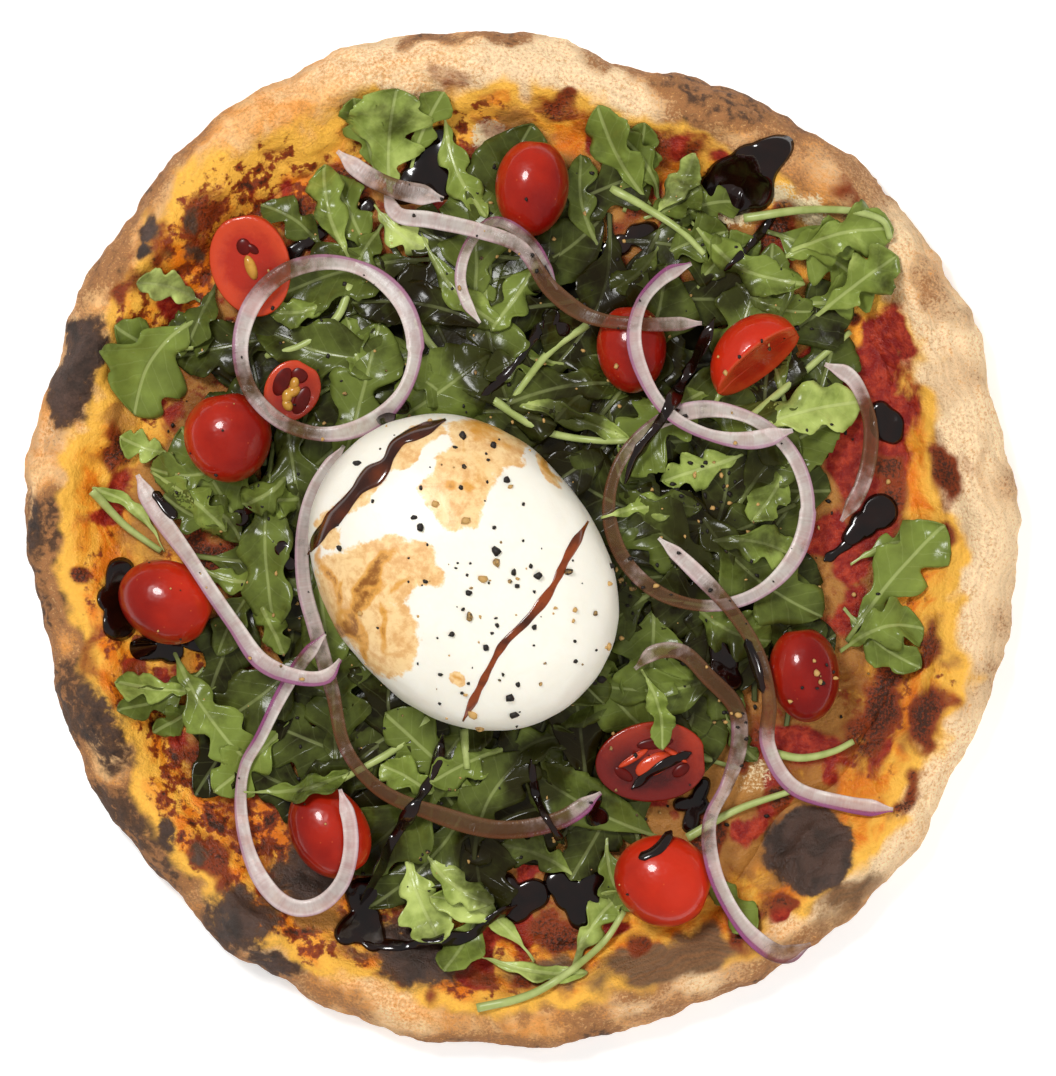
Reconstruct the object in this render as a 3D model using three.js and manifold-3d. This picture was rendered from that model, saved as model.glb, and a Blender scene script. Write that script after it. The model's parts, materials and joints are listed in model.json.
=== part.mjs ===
// A whole hand-stretched pizza, about 30 cm across, with its toppings: a puffed crust, a tomato
// and cheese layer, a heap of rocket, cherry tomatoes, red onion strips and a ball of burrata.
import * as THREE from "three";
import { mergeVertices } from "three/addons/utils/BufferGeometryUtils.js";
import Module from "manifold-3d";

const wasm = await Module();
wasm.setup();

// Sizes in millimetres. Bearings are degrees counter-clockwise from +X, seen from above.
const GAP = 0.3;

// Dough: the outer edge, the rolled rim and the flat base inside it.
const CRUST_RADIUS = 149;
const BASE_THICKNESS = 4;
const RIM_HEIGHT = 18.5;
const EDGE_HEIGHT = 8;
const EDGE_UNDERCUT = 12;
const CREST_INSET = 10.5;
const RIM_REACH = 33;
const CRUST_TURNS = 82;

// Where the stretched edge pushes out or stays in, and where the rim is higher or lower.
const RIM_SWELLS = [
  { at: 118, spread: 22, out: 7.2, up: 1.5 },
  { at: 40, spread: 12, out: 1.8, up: 1 },
  { at: 75, spread: 11, out: -4, up: -0.8 },
  { at: 15, spread: 9, out: -1.8, up: -1 },
  { at: 180, spread: 5, out: 1.6, up: 0.6 },
  { at: 191, spread: 6, out: -4, up: -1.5 },
  { at: 258, spread: 17, out: 4, up: 1.2 },
  { at: 308, spread: 10, out: 2, up: 1 },
  { at: 334, spread: 10, out: -1.2, up: -0.6 },
];

// Dough blisters and thick pools of glaze on the rim: bearing, distance in from the edge,
// half size along and across the rim, and rise.
const RIM_BLISTERS = [
  { at: 159, inset: 9, along: 12, across: 6, rise: 2.4 },
  { at: 204, inset: 12, along: 13, across: 8, rise: 2.6 },
  { at: 236, inset: 9, along: 10, across: 7, rise: 3 },
  { at: 65, inset: 7, along: 9, across: 6, rise: 2.4 },
  { at: 98, inset: 9, along: 9, across: 6, rise: 1.8 },
  { at: 46, inset: 8, along: 12, across: 6, rise: 1.8 },
  { at: 312, inset: 22, along: 10, across: 8, rise: 5 },
  { at: 257, inset: 25, along: 12, across: 6, rise: 3.6 },
  { at: 238, inset: 26, along: 7, across: 5, rise: 3 },
  { at: 59, inset: 19, along: 10, across: 6, rise: 1.5 },
  { at: 245, inset: 29, along: 6, across: 5, rise: 1.5 },
];

// Tomato and cheese layer on the base, with thick pools of glaze where it lies bare.
const LAYER_THICKNESS = 1.9;
const LAYER_TOP = BASE_THICKNESS + GAP + LAYER_THICKNESS;
const LAYER_TURNS = 46;
const LAYER_POOLS = [
  { x: 107, y: 32, long: 6, wide: 5, rise: 1.6 },
  { x: 104, y: -4, long: 6, wide: 5, rise: 1.6 },
  { x: -15, y: -111, long: 7, wide: 4, rise: 1.4 },
  { x: 92, y: -60, long: 8, wide: 5, rise: 1.4 },
];

// Body of the salad heap under the leaves that show.
const HEAP_RADIUS = 107;
const HEAP_HEIGHT = 14.5;
const HEAP_EDGE = 1;
const HEAP_FLOOR = LAYER_TOP + GAP;
const HEAP_BAYS = [
  { at: 312, spread: 17, out: -34 },
  { at: 186, spread: 9, out: -14 },
  { at: 0, spread: 15, out: -12 },
  { at: 38, spread: 14, out: 5 },
  { at: 95, spread: 12, out: 3 },
  { at: 272, spread: 12, out: 3 },
];

// Ball of burrata: an egg-shaped outline, flatter underneath.
const BURRATA = { x: -17.7, y: -10.2, z: 28, up: 27, down: 15 };
const BURRATA_RADIUS = 45.6;
const BURRATA_STRETCH = 5.2;
const BURRATA_LONG_AXIS = 130;
const BURRATA_FULLNESS = 2.35;
const PEPPER_GRAINS = 16;
const PEPPER_RADIUS = 0.8;
const GLAZE_STRIPES = [
  { width: 3.6, height: 1.8, through: [[-25, 33], [-36, 25], [-46, 16], [-57, 4]] },
  { width: 2.2, height: 1.4, through: [[16, 3], [6, -16], [-5, -30], [-12, -42], [-17, -50]] },
];

// Cherry tomatoes: place, half length, half width, half height and bearing of the long axis.
// A half is cut along a plane whose normal leans from straight up by the given lean and bearing.
const TOMATOES = [
  { x: 2.4, y: 104.4, long: 14.5, wide: 11, high: 10.5, turn: 85 },
  { x: -81.6, y: 81, long: 16, wide: 12, high: 10, turn: 102, half: true, lean: 14, toward: 250 },
  { x: -69.3, y: 43.8, long: 9.6, wide: 8.2, high: 8, turn: 60, half: true, lean: 10, toward: 300 },
  { x: -88.2, y: 30, long: 13.5, wide: 13.1, high: 11.5, turn: 100 },
  { x: -106.8, y: -18.9, long: 14.6, wide: 12.3, high: 11, turn: -25 },
  { x: 32.1, y: 56.4, long: 13.2, wide: 10.4, high: 10, turn: 92 },
  { x: 70, y: 52.6, long: 15.4, wide: 13.4, high: 11, turn: 38, half: true, lean: 66, toward: 308 },
  { x: 83.7, y: -40.8, long: 14.2, wide: 10.5, high: 10, turn: 97 },
  { x: 38.1, y: -66.9, long: 16.8, wide: 12.2, high: 10, turn: 4, half: true, lean: 9, toward: 290 },
  { x: 41.4, y: -102, long: 14.8, wide: 13.6, high: 11.5, turn: -20 },
  { x: -58.2, y: -87.3, long: 15, wide: 11.5, high: 10.5, turn: -60 },
];
const WHOLE_SINK = -0.4;
const HALF_SINK = 0.1;

// Red onion: strips cut across the bulb, laid in loops. Lower strips come first.
const ONION_WIDTH = 5.8;
const ONION_HEIGHT = 3;
const ONION_STEP = 7;
const ONION_SIDES = 6;
const ONION_SAG = 0.08;
const ONIONS = [
  { through: [[-53.5, 27.5], [-62, 14.5], [-65.8, 1], [-65.5, -14], [-61.8, -28], [-57, -46], [-53, -63],
    [-43, -75], [-27, -82], [-7, -87], [11, -84], [23, -76]] },
  { through: [[-59, -28.5], [-67, -38], [-73, -48], [-79, -60], [-83.5, -68], [-85, -78], [-83.5, -90],
    [-79, -101], [-73, -108], [-67, -110.5], [-60.5, -109], [-54.5, -103], [-51.5, -94], [-51.5, -85],
    [-54.5, -74.5]] },
  { through: [[-116, 19], [-111, 9], [-98, -8], [-86.5, -25.5], [-78, -37], [-66, -41.5], [-58.5, -41],
    [-54.5, -36]] },
  { ring: { x: 55, y: 9.1, long: 29.8, wide: 29.3 } },
  { through: [[40, 0], [50, -9], [62, -22], [70, -35], [73, -49], [73, -62], [80.5, -74.5], [96, -79.5],
    [110, -81]] },
  { through: [[10, 74], [2, 88], [-9, 94], [-16, 88], [-19, 78], [-17, 70], [-13, 64]] },
  { through: [[-42, 105], [-38, 97], [-28, 95], [-13, 91], [-1, 86], [8, 74], [19, 66], [33, 63.5],
    [53, 64]] },
  { through: [[50, 82], [42, 78], [35, 70], [32.5, 59], [36, 47], [43, 37], [54, 31], [67, 29],
    [80, 32]] },
  { through: [[-56, 116], [-49, 110], [-40, 105], [-24, 101]] },
  { ring: { x: -58.5, y: 56.6, long: 26.2, wide: 25.8 } },
  { through: [[90, 52], [98, 48], [103, 38], [104, 28], [101, 15], [95, 5]] },
  { through: [[33, -39], [39, -34], [47, -34], [55, -41.5], [63.5, -51], [64.5, -61.5], [61, -73.5],
    [55.5, -84.5], [56, -97], [61.5, -110], [68.5, -119], [77, -124], [85.5, -121]] },
];

// Rocket leaves: from the foot of the stalk to the tip.
const LEAF_THICKNESS = 0.9;
const LEAF_OUTLINE = [0.08, 0.1, 0.62, 0.34, 0.95, 0.8, 0.16];
const LEAF_STEPS = LEAF_OUTLINE.length - 1;
const LEAF_LIFT = 2.6;
const EDGE_LEAVES = [
  { from: [-40, 98], to: [-38, 133], width: 22 },
  { from: [84, 70], to: [110, 82], width: 20 },
  { from: [62, 94], to: [97, 92], width: 18 },
  { from: [-94, 62], to: [-120, 44], width: 22 },
  { from: [84, -12], to: [122, -3], width: 20 },
  { from: [-30, -94], to: [-19, -122], width: 15 },
  { from: [-8, -98], to: [4, -126], width: 13 },
  { from: [12, -98], to: [26, -124], width: 14 },
  { from: [-90, -46], to: [-122, -45], width: 15 },
  { from: [-92, -44], to: [-104, -76], width: 16 },
  { from: [22, 92], to: [24, 127], width: 14 },
  { from: [42, 94], to: [52, 116], width: 11 },
  { from: [-28, 92], to: [-18, 124], width: 12 },
  { from: [-98, 4], to: [-124, 10], width: 10 },
  { from: [88, 20], to: [116, 18], width: 12 },
  { from: [70, 78], to: [84, 106], width: 14 },
];
const FILL_LEAVES = 170;
const FILL_LENGTH = [24, 38];
const FILL_WIDTH = [11, 18];
const HEAP_LEAVES = 39;

const RAD = Math.PI / 180;
const pizza = new THREE.Group();
pizza.name = "pizza";

// Repeatable random numbers from 0 to 1.
function randomFrom(seed) {
  let state = seed;
  return () => {
    state = (state * 16807) % 2147483647;
    return state / 2147483647;
  };
}

function clamp01(x) {
  return Math.min(1, Math.max(0, x));
}

function ease(from, to, x) {
  const t = clamp01((x - from) / (to - from));
  return t * t * (3 - 2 * t);
}

// A smooth hump round a bearing, 1 at its middle.
function hump(bearing, at, spread) {
  const off = bearing - at - 360 * Math.round((bearing - at) / 360);
  return Math.exp(-((off / spread) ** 2) / 2);
}

function bearingOf(x, y) {
  return Math.atan2(y, x) / RAD;
}

function swell(list, key, bearing) {
  return list.reduce((sum, one) => sum + one[key] * hump(bearing, one.at, one.spread), 0);
}

// Closed body from a geometry whose doubled seams are joined first.
function solid(geometry) {
  const bare = geometry.clone();
  bare.deleteAttribute("normal");
  bare.deleteAttribute("uv");
  const joined = mergeVertices(bare, 1e-4);
  const index = joined.index.array;
  const kept = [];
  for (let i = 0; i < index.length; i += 3) {
    const corners = [index[i], index[i + 1], index[i + 2]];
    if (new Set(corners).size === 3) kept.push(...corners);
  }
  return new wasm.Manifold(new wasm.Mesh({
    numProp: 3,
    vertProperties: new Float32Array(joined.attributes.position.array),
    triVerts: new Uint32Array(kept),
  }));
}

// Moves every point of a geometry by a function.
function reshape(geometry, move) {
  const place = geometry.attributes.position;
  const p = new THREE.Vector3();
  for (let i = 0; i < place.count; i += 1) {
    p.fromBufferAttribute(place, i);
    move(p);
    place.setXYZ(i, p.x, p.y, p.z);
  }
  return geometry;
}

function addPiece(name, body, color, roughness) {
  const made = body.getMesh();
  const geometry = new THREE.BufferGeometry();
  geometry.setAttribute("position", new THREE.BufferAttribute(new Float32Array(made.vertProperties), 3));
  geometry.setIndex(new THREE.BufferAttribute(new Uint32Array(made.triVerts), 1));
  geometry.computeVertexNormals();
  const mesh = new THREE.Mesh(geometry, new THREE.MeshStandardMaterial({ color, roughness }));
  mesh.name = name;
  pizza.add(mesh);
}

// A turned body with +Z up from [radius, height] points that start and end on the axis.
function turned(points, turns) {
  const profile = points.map(([radius, height]) => new THREE.Vector2(radius, height));
  return new THREE.LatheGeometry(profile, turns).rotateX(Math.PI / 2);
}

// Crust.
function outerRadius(bearing) {
  const crags = 0.5 * Math.sin(17 * bearing * RAD + 1) + 0.4 * Math.sin(29 * bearing * RAD + 2);
  return CRUST_RADIUS + crags + swell(RIM_SWELLS, "out", bearing);
}

function rimRise(bearing, inset) {
  const radius = outerRadius(bearing) - inset;
  const blisters = RIM_BLISTERS.reduce((sum, one) => {
    const off = bearing - one.at - 360 * Math.round((bearing - one.at) / 360);
    const along = (off * RAD * radius) / one.along;
    const across = (inset - one.inset) / one.across;
    return sum + one.rise * Math.exp(-(along * along + across * across));
  }, 0);
  const crown = 1 - ease(0, CREST_INSET, Math.abs(inset - CREST_INSET));
  const lumps = 0.7 * Math.sin(13 * bearing * RAD) + 0.6 * Math.sin(23 * bearing * RAD + 1.3);
  const fade = 1 - ease(RIM_REACH - 6, RIM_REACH, inset);
  return blisters * fade + crown * (swell(RIM_SWELLS, "up", bearing) + lumps);
}

// Height of the rim by the distance in from the edge, on the upper side.
function rimHeight(inset) {
  if (inset < CREST_INSET) {
    const over = 1 - inset / CREST_INSET;
    return EDGE_HEIGHT + (RIM_HEIGHT - EDGE_HEIGHT) * Math.sqrt(1 - over * over);
  }
  const t = clamp01((inset - CREST_INSET) / (RIM_REACH - CREST_INSET));
  return BASE_THICKNESS + (RIM_HEIGHT - BASE_THICKNESS) * (1 + Math.cos(Math.PI * t)) / 2;
}

function crustTop(x, y) {
  const bearing = bearingOf(x, y);
  const inset = outerRadius(bearing) - Math.hypot(x, y);
  if (inset < 0) return 0;
  return rimHeight(inset) + rimRise(bearing, inset);
}

function makeCrust() {
  const under = [0, 1, 2, 3].map((k) => {
    const a = (k / 3) * 90 * RAD;
    return [CRUST_RADIUS - EDGE_UNDERCUT * (1 - Math.sin(a)), EDGE_HEIGHT * (1 - Math.cos(a))];
  });
  const over = [1, 2, 3, 4].map((k) => {
    const inset = CREST_INSET * (1 - Math.cos((k / 4) * 90 * RAD));
    return [CRUST_RADIUS - inset, rimHeight(inset)];
  });
  const slope = [1, 2, 3, 4, 5, 6].map((k) => {
    const inset = CREST_INSET + (RIM_REACH - CREST_INSET) * (k / 6);
    return [CRUST_RADIUS - inset, rimHeight(inset)];
  });
  const flat = [[CRUST_RADIUS * 0.4, BASE_THICKNESS], [0, BASE_THICKNESS]];
  const shape = turned([[0, 0], ...under, ...over, ...slope, ...flat], CRUST_TURNS);
  return solid(reshape(shape, (p) => {
    const radius = Math.hypot(p.x, p.y);
    if (radius < 1) return;
    const bearing = bearingOf(p.x, p.y);
    const inset = CRUST_RADIUS - radius;
    const shift = outerRadius(bearing) - CRUST_RADIUS;
    const grow = (radius + shift * ease(0.4, 0.8, radius / CRUST_RADIUS)) / radius;
    const upper = p.z > EDGE_HEIGHT || (inset > CREST_INSET && p.z > BASE_THICKNESS);
    if (upper) p.z += rimRise(bearing, inset);
    p.x *= grow;
    p.y *= grow;
  }));
}

// Tomato and cheese layer.
function heapRadius(bearing) {
  return HEAP_RADIUS + swell(HEAP_BAYS, "out", bearing);
}

function layerRadius(bearing) {
  return outerRadius(bearing) - RIM_REACH - GAP;
}

function layerRelief(x, y) {
  const bearing = bearingOf(x, y);
  const radius = Math.hypot(x, y);
  const bare = ease(2, 8, radius - heapRadius(bearing));
  return bare * (0.35 * Math.sin(x / 5.1) * Math.cos(y / 6.3) - 0.35);
}

function makeLayer() {
  const top = LAYER_TOP;
  const floor = BASE_THICKNESS + GAP;
  const shape = turned([
    [0, floor], [1, floor], [1, top - 0.9], [0.985, top - 0.3], [0.94, top], [0.87, top], [0.78, top],
    [0.64, top], [0, top],
  ], LAYER_TURNS);
  const body = solid(reshape(shape, (p) => {
    const share = Math.hypot(p.x, p.y);
    if (share < 0.01) return;
    const radius = layerRadius(bearingOf(p.x, p.y));
    p.x *= radius;
    p.y *= radius;
    if (p.z > top - 0.1) p.z += layerRelief(p.x, p.y);
  }));
  return LAYER_POOLS.reduce((sum, pool) => {
    const blob = new THREE.SphereGeometry(1, 8, 5);
    blob.rotateX(Math.PI / 2);
    blob.scale(pool.long, pool.wide, pool.rise);
    blob.rotateZ(bearingOf(pool.x, pool.y) * RAD + Math.PI / 2);
    blob.translate(pool.x, pool.y, LAYER_TOP - 0.4);
    return sum.add(solid(blob));
  }, body);
}

// Heap body.
function heapTop(x, y) {
  const share = Math.hypot(x, y) / heapRadius(bearingOf(x, y));
  if (share > 1) return 0;
  return HEAP_FLOOR + HEAP_EDGE + HEAP_HEIGHT * (1 - share ** 3);
}

function makeHeapBody() {
  const rings = [1, 0.92, 0.8, 0.62, 0.36].map((share) => {
    return [share, HEAP_FLOOR + HEAP_EDGE + HEAP_HEIGHT * (1 - share ** 3)];
  });
  const peak = HEAP_FLOOR + HEAP_EDGE + HEAP_HEIGHT;
  const shape = turned([[0, HEAP_FLOOR], [1, HEAP_FLOOR], ...rings, [0, peak]], 44);
  return solid(reshape(shape, (p) => {
    if (Math.hypot(p.x, p.y) < 0.01) return;
    const radius = heapRadius(bearingOf(p.x, p.y));
    p.x *= radius;
    p.y *= radius;
  }));
}

// Top of the layers that the toppings lie on.
function bedTop(x, y) {
  return Math.max(LAYER_TOP, heapTop(x, y), crustTop(x, y));
}

// Burrata.
function burrataRadius(bearing) {
  return BURRATA_RADIUS + BURRATA_STRETCH * Math.cos(2 * (bearing - BURRATA_LONG_AXIS) * RAD);
}

function burrataTop(x, y) {
  const dx = x - BURRATA.x;
  const dy = y - BURRATA.y;
  const share = Math.hypot(dx, dy) / burrataRadius(bearingOf(dx, dy));
  const level = Math.max(0, 1 - share ** BURRATA_FULLNESS) ** (1 / BURRATA_FULLNESS);
  return BURRATA.z + BURRATA.up * level;
}

function makeBurrataBall(margin) {
  const ball = new THREE.SphereGeometry(1, 26, 14).rotateX(Math.PI / 2);
  return solid(reshape(ball, (p) => {
    const flat = Math.hypot(p.x, p.y);
    const level = Math.abs(p.z);
    const height = (p.z > 0 ? BURRATA.up : BURRATA.down) + margin;
    p.z = BURRATA.z + Math.sign(p.z) * height * level;
    if (flat < 1e-6) {
      p.x = BURRATA.x;
      p.y = BURRATA.y;
      return;
    }
    const reach = burrataRadius(bearingOf(p.x, p.y)) + margin;
    const wide = Math.max(0, 1 - level ** BURRATA_FULLNESS) ** (1 / BURRATA_FULLNESS);
    p.x = BURRATA.x + (p.x / flat) * reach * wide;
    p.y = BURRATA.y + (p.y / flat) * reach * wide;
  }));
}

function makeBurrata() {
  let body = makeBurrataBall(0);
  GLAZE_STRIPES.forEach((stripe) => {
    const path = flatPath(stripe.through, false);
    const steps = Math.round(path.getLength() / 5);
    const heights = [];
    for (let k = 0; k <= steps; k += 1) {
      const p = path.getPointAt(k / steps);
      heights.push(burrataTop(p.x, p.y) + 0.1);
    }
    body = body.add(bandSolid(path, false, steps, heights, stripe.width, stripe.height));
  });
  const random = randomFrom(41);
  for (let k = 0; k < PEPPER_GRAINS; k += 1) {
    const turn = k * 137.5 + 30 * random();
    const share = 0.84 * Math.sqrt((k + 0.5) / PEPPER_GRAINS);
    const reach = burrataRadius(turn) * share;
    const x = BURRATA.x + reach * Math.cos(turn * RAD);
    const y = BURRATA.y + reach * Math.sin(turn * RAD);
    const grain = new THREE.OctahedronGeometry(PEPPER_RADIUS * (0.9 + 0.5 * random()), 0);
    grain.translate(x, y, burrataTop(x, y) + 0.15);
    body = body.add(solid(grain));
  }
  return body;
}

// Cherry tomatoes.
function tomatoCentre(tomato) {
  const onLayer = LAYER_TOP + GAP + 0.2 + tomato.high;
  const sink = tomato.half ? HALF_SINK : WHOLE_SINK;
  const onHeap = heapTop(tomato.x, tomato.y) + sink * tomato.high;
  return Math.max(onLayer, onHeap);
}

function cutNormal(tomato) {
  const lean = tomato.lean * RAD;
  const toward = tomato.toward * RAD;
  return [Math.sin(lean) * Math.cos(toward), Math.sin(lean) * Math.sin(toward), Math.cos(lean)];
}

function makeTomato(tomato, margin) {
  const ball = new THREE.SphereGeometry(1, 12, 8);
  ball.rotateX(Math.PI / 2);
  ball.scale(tomato.long + margin, tomato.wide + margin, tomato.high + margin);
  ball.rotateZ(tomato.turn * RAD);
  let body = solid(ball);
  if (tomato.half) {
    const normal = cutNormal(tomato);
    body = body.trimByPlane(normal.map((n) => -n), -margin);
  }
  return body.translate([tomato.x, tomato.y, tomatoCentre(tomato)]);
}

function tomatoTop(tomato, x, y) {
  const dx = x - tomato.x;
  const dy = y - tomato.y;
  const turn = tomato.turn * RAD;
  const along = (dx * Math.cos(turn) + dy * Math.sin(turn)) / tomato.long;
  const across = (dy * Math.cos(turn) - dx * Math.sin(turn)) / tomato.wide;
  const share = along * along + across * across;
  if (share > 1) return 0;
  let high = tomato.high * Math.sqrt(1 - share);
  if (tomato.half) {
    const normal = cutNormal(tomato);
    high = Math.min(high, -(dx * normal[0] + dy * normal[1]) / normal[2]);
    if (high < -tomato.high * Math.sqrt(1 - share)) return 0;
  }
  return tomatoCentre(tomato) + high;
}

// Bands that follow a path seen from above.
function flatPath(through, closed) {
  const points = through.map(([x, y]) => new THREE.Vector3(x, y, 0));
  return new THREE.CatmullRomCurve3(points, closed, "centripetal");
}

function ringPath(ring) {
  const through = [];
  for (let k = 0; k < 12; k += 1) {
    const a = k * 30 * RAD;
    through.push([ring.x + ring.long * Math.cos(a), ring.y + ring.wide * Math.sin(a)]);
  }
  return flatPath(through, true);
}

function sideOf(path, t) {
  const ahead = path.getTangentAt(t);
  return new THREE.Vector3(ahead.y, -ahead.x, 0).normalize();
}

function bandSolid(path, closed, steps, heights, width, height) {
  const place = (p, t, side, up) => {
    const at = path.getPointAt(t);
    const ends = closed ? 1 : 0.6 + 0.4 * ease(0, 0.06, t) * ease(0, 0.06, 1 - t);
    at.addScaledVector(sideOf(path, t), (side * ends * width) / 2);
    const z = heights[Math.round(t * steps) % heights.length];
    p.set(at.x, at.y, z + (up * ends * height) / 2);
  };
  if (closed) {
    const ring = new THREE.TorusGeometry(3, 1, ONION_SIDES, steps);
    return solid(reshape(ring, (p) => {
      const t = ((Math.atan2(p.y, p.x) / (2 * Math.PI)) + 1) % 1;
      place(p, Math.round(t * steps) % steps / steps, Math.hypot(p.x, p.y) - 3, p.z);
    }));
  }
  const bar = new THREE.CylinderGeometry(1, 1, 1, ONION_SIDES, steps).rotateY(Math.PI / 6);
  return solid(reshape(bar, (p) => place(p, clamp01(p.y + 0.5), p.x, p.z)));
}

// Heights of a limp band laid over what is below it: it rests on the high places and sags between.
function drape(path, closed, steps, clearance, supportAt) {
  const fine = steps * 4;
  const count = closed ? fine : fine + 1;
  const rest = [];
  for (let k = 0; k < count; k += 1) {
    const at = path.getPointAt(k / fine);
    const side = sideOf(path, k / fine);
    const below = [-0.55, -0.28, 0, 0.28, 0.55].map((s) => {
      return supportAt(at.x + side.x * s * ONION_WIDTH, at.y + side.y * s * ONION_WIDTH);
    });
    rest.push(Math.max(...below) + clearance + ONION_HEIGHT / 2);
  }
  const level = [...rest];
  for (let round = 0; round < 900; round += 1) {
    for (let k = 0; k < count; k += 1) {
      const before = level[closed ? (k - 1 + count) % count : Math.max(0, k - 1)];
      const after = level[closed ? (k + 1) % count : Math.min(count - 1, k + 1)];
      level[k] = Math.max(rest[k], (before + after) / 2 - ONION_SAG);
    }
  }
  return level.filter((_, k) => k % 4 === 0);
}

// Red onion, each strip resting on the bed, the tomatoes and the strips before it.
function makeOnions(others) {
  const laid = [];
  const bodies = [];
  let below = others;
  ONIONS.forEach((onion) => {
    const closed = Boolean(onion.ring);
    const path = closed ? ringPath(onion.ring) : flatPath(onion.through, false);
    const steps = Math.round(path.getLength() / ONION_STEP);
    const supportAt = (x, y) => {
      const tops = TOMATOES.map((tomato) => tomatoTop(tomato, x, y));
      laid.forEach((s) => {
        if (Math.hypot(s.x - x, s.y - y) < ONION_WIDTH * 0.62) tops.push(s.top);
      });
      return Math.max(bedTop(x, y), ...tops);
    };
    let clearance = 0.4;
    let heights = drape(path, closed, steps, clearance, supportAt);
    let body = bandSolid(path, closed, steps, heights, ONION_WIDTH, ONION_HEIGHT);
    const fat = () => {
      return bandSolid(path, closed, steps, heights, ONION_WIDTH + 2 * GAP, ONION_HEIGHT + 2 * GAP);
    };
    while (clearance < 6 && fat().intersect(below).volume() > 1e-6) {
      clearance += 0.4;
      heights = drape(path, closed, steps, clearance, supportAt);
      body = bandSolid(path, closed, steps, heights, ONION_WIDTH, ONION_HEIGHT);
    }
    const samples = steps * 3;
    for (let k = 0; k <= samples; k += 1) {
      const at = path.getPointAt(k / samples);
      const z = heights[Math.round((k / samples) * steps) % heights.length];
      laid.push({ x: at.x, y: at.y, top: z + ONION_HEIGHT / 2 });
    }
    bodies.push(body);
    below = below.add(body);
  });
  return bodies;
}

// A thin sheet given both faces, split alike, and an edge all round.
function thicken(sheet, thickness) {
  const place = sheet.attributes.position;
  const across = sheet.parameters.widthSegments + 1;
  const down = sheet.parameters.heightSegments + 1;
  const count = place.count;
  const points = [];
  [thickness / 2, -thickness / 2].forEach((off) => {
    for (let i = 0; i < count; i += 1) points.push(place.getX(i), place.getY(i), place.getZ(i) + off);
  });
  const faces = [];
  const index = sheet.index.array;
  for (let i = 0; i < index.length; i += 3) {
    faces.push(index[i], index[i + 1], index[i + 2]);
    faces.push(index[i] + count, index[i + 2] + count, index[i + 1] + count);
  }
  const rim = [];
  for (let i = 0; i < across - 1; i += 1) rim.push(i);
  for (let i = 0; i < down - 1; i += 1) rim.push(i * across + across - 1);
  for (let i = across - 1; i > 0; i -= 1) rim.push((down - 1) * across + i);
  for (let i = down - 1; i > 0; i -= 1) rim.push(i * across);
  rim.forEach((a, k) => {
    const b = rim[(k + 1) % rim.length];
    faces.push(a, b, a + count, b, b + count, a + count);
  });
  const geometry = new THREE.BufferGeometry();
  geometry.setAttribute("position", new THREE.Float32BufferAttribute(points, 3));
  geometry.setIndex(faces);
  return geometry;
}

function makeLeaf(leaf, lift, thickness) {
  const start = new THREE.Vector2(...leaf.from);
  const run = new THREE.Vector2(...leaf.to).sub(start);
  const side = new THREE.Vector2(-run.y, run.x).normalize();
  const sheet = new THREE.PlaneGeometry(1, 1, LEAF_STEPS, 2);
  reshape(sheet, (p) => {
    const t = p.x + 0.5;
    const s = p.y * 2;
    const half = (leaf.width / 2) * LEAF_OUTLINE[Math.round(t * LEAF_STEPS)];
    const off = s * half + (leaf.bend ?? 3) * Math.sin(Math.PI * t);
    p.x = start.x + run.x * t + side.x * off;
    p.y = start.y + run.y * t + side.y * off;
    const rise = lift * ease(0, 0.3, t) - 1.6 * (1 - ease(0, 0.2, t));
    const ripple = 0.8 * s * s * Math.sin(9 * t + 2 * s) * ease(0.2, 0.5, t);
    p.z = bedTop(p.x, p.y) + LEAF_THICKNESS / 2 + rise + ripple;
  });
  return solid(thicken(sheet, thickness));
}

// Leaves over the whole heap by a spiral, each with its own direction and size.
function fillLeaves() {
  const random = randomFrom(7);
  const leaves = [];
  for (let k = 0; k < FILL_LEAVES; k += 1) {
    const turn = (k * 137.508 + 20 * random()) * RAD;
    const reach = heapRadius(turn / RAD) * (0.3 + 0.6 * Math.sqrt((k + 0.5) / FILL_LEAVES));
    const heading = turn + (random() - 0.5) * 3.6;
    const length = FILL_LENGTH[0] + (FILL_LENGTH[1] - FILL_LENGTH[0]) * random();
    const width = FILL_WIDTH[0] + (FILL_WIDTH[1] - FILL_WIDTH[0]) * random();
    const from = [reach * Math.cos(turn), reach * Math.sin(turn)];
    const to = [from[0] + length * Math.cos(heading), from[1] + length * Math.sin(heading)];
    leaves.push({ from, to, width, bend: 8 * (random() - 0.5) });
  }
  return leaves;
}

function makeHeap(others, most) {
  let heap = makeHeapBody().subtract(makeBurrataBall(GAP));
  TOMATOES.forEach((tomato) => {
    heap = heap.subtract(makeTomato(tomato, GAP));
  });
  let used = 0;
  let leaves = makeBurrataBall(0);
  [...EDGE_LEAVES, ...fillLeaves()].forEach((leaf) => {
    if (used >= most) return;
    const fits = [LEAF_LIFT, LEAF_LIFT + 1.5, LEAF_LIFT - 1.5].find((lift) => {
      return makeLeaf(leaf, lift, LEAF_THICKNESS + 2 * GAP).intersect(others).volume() < 1e-6;
    });
    if (fits === undefined) return;
    const blade = makeLeaf(leaf, fits, LEAF_THICKNESS);
    if (blade.intersect(heap).volume() < 0.5) return;
    if (blade.intersect(leaves).volume() > 1e-6) return;
    const next = heap.add(blade);
    if (next.decompose().length > 1) return;
    heap = next;
    leaves = leaves.add(blade);
    used += 1;
  });
  return heap;
}

const crust = makeCrust();
const layer = makeLayer();
const burrata = makeBurrata();
const tomatoes = TOMATOES.map((tomato) => makeTomato(tomato, 0));
let others = crust.add(layer).add(burrata);
tomatoes.forEach((body) => {
  others = others.add(body);
});
const onions = makeOnions(others.add(makeHeapBody()));
onions.forEach((body) => {
  others = others.add(body);
});
const heap = makeHeap(others, HEAP_LEAVES);

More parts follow.
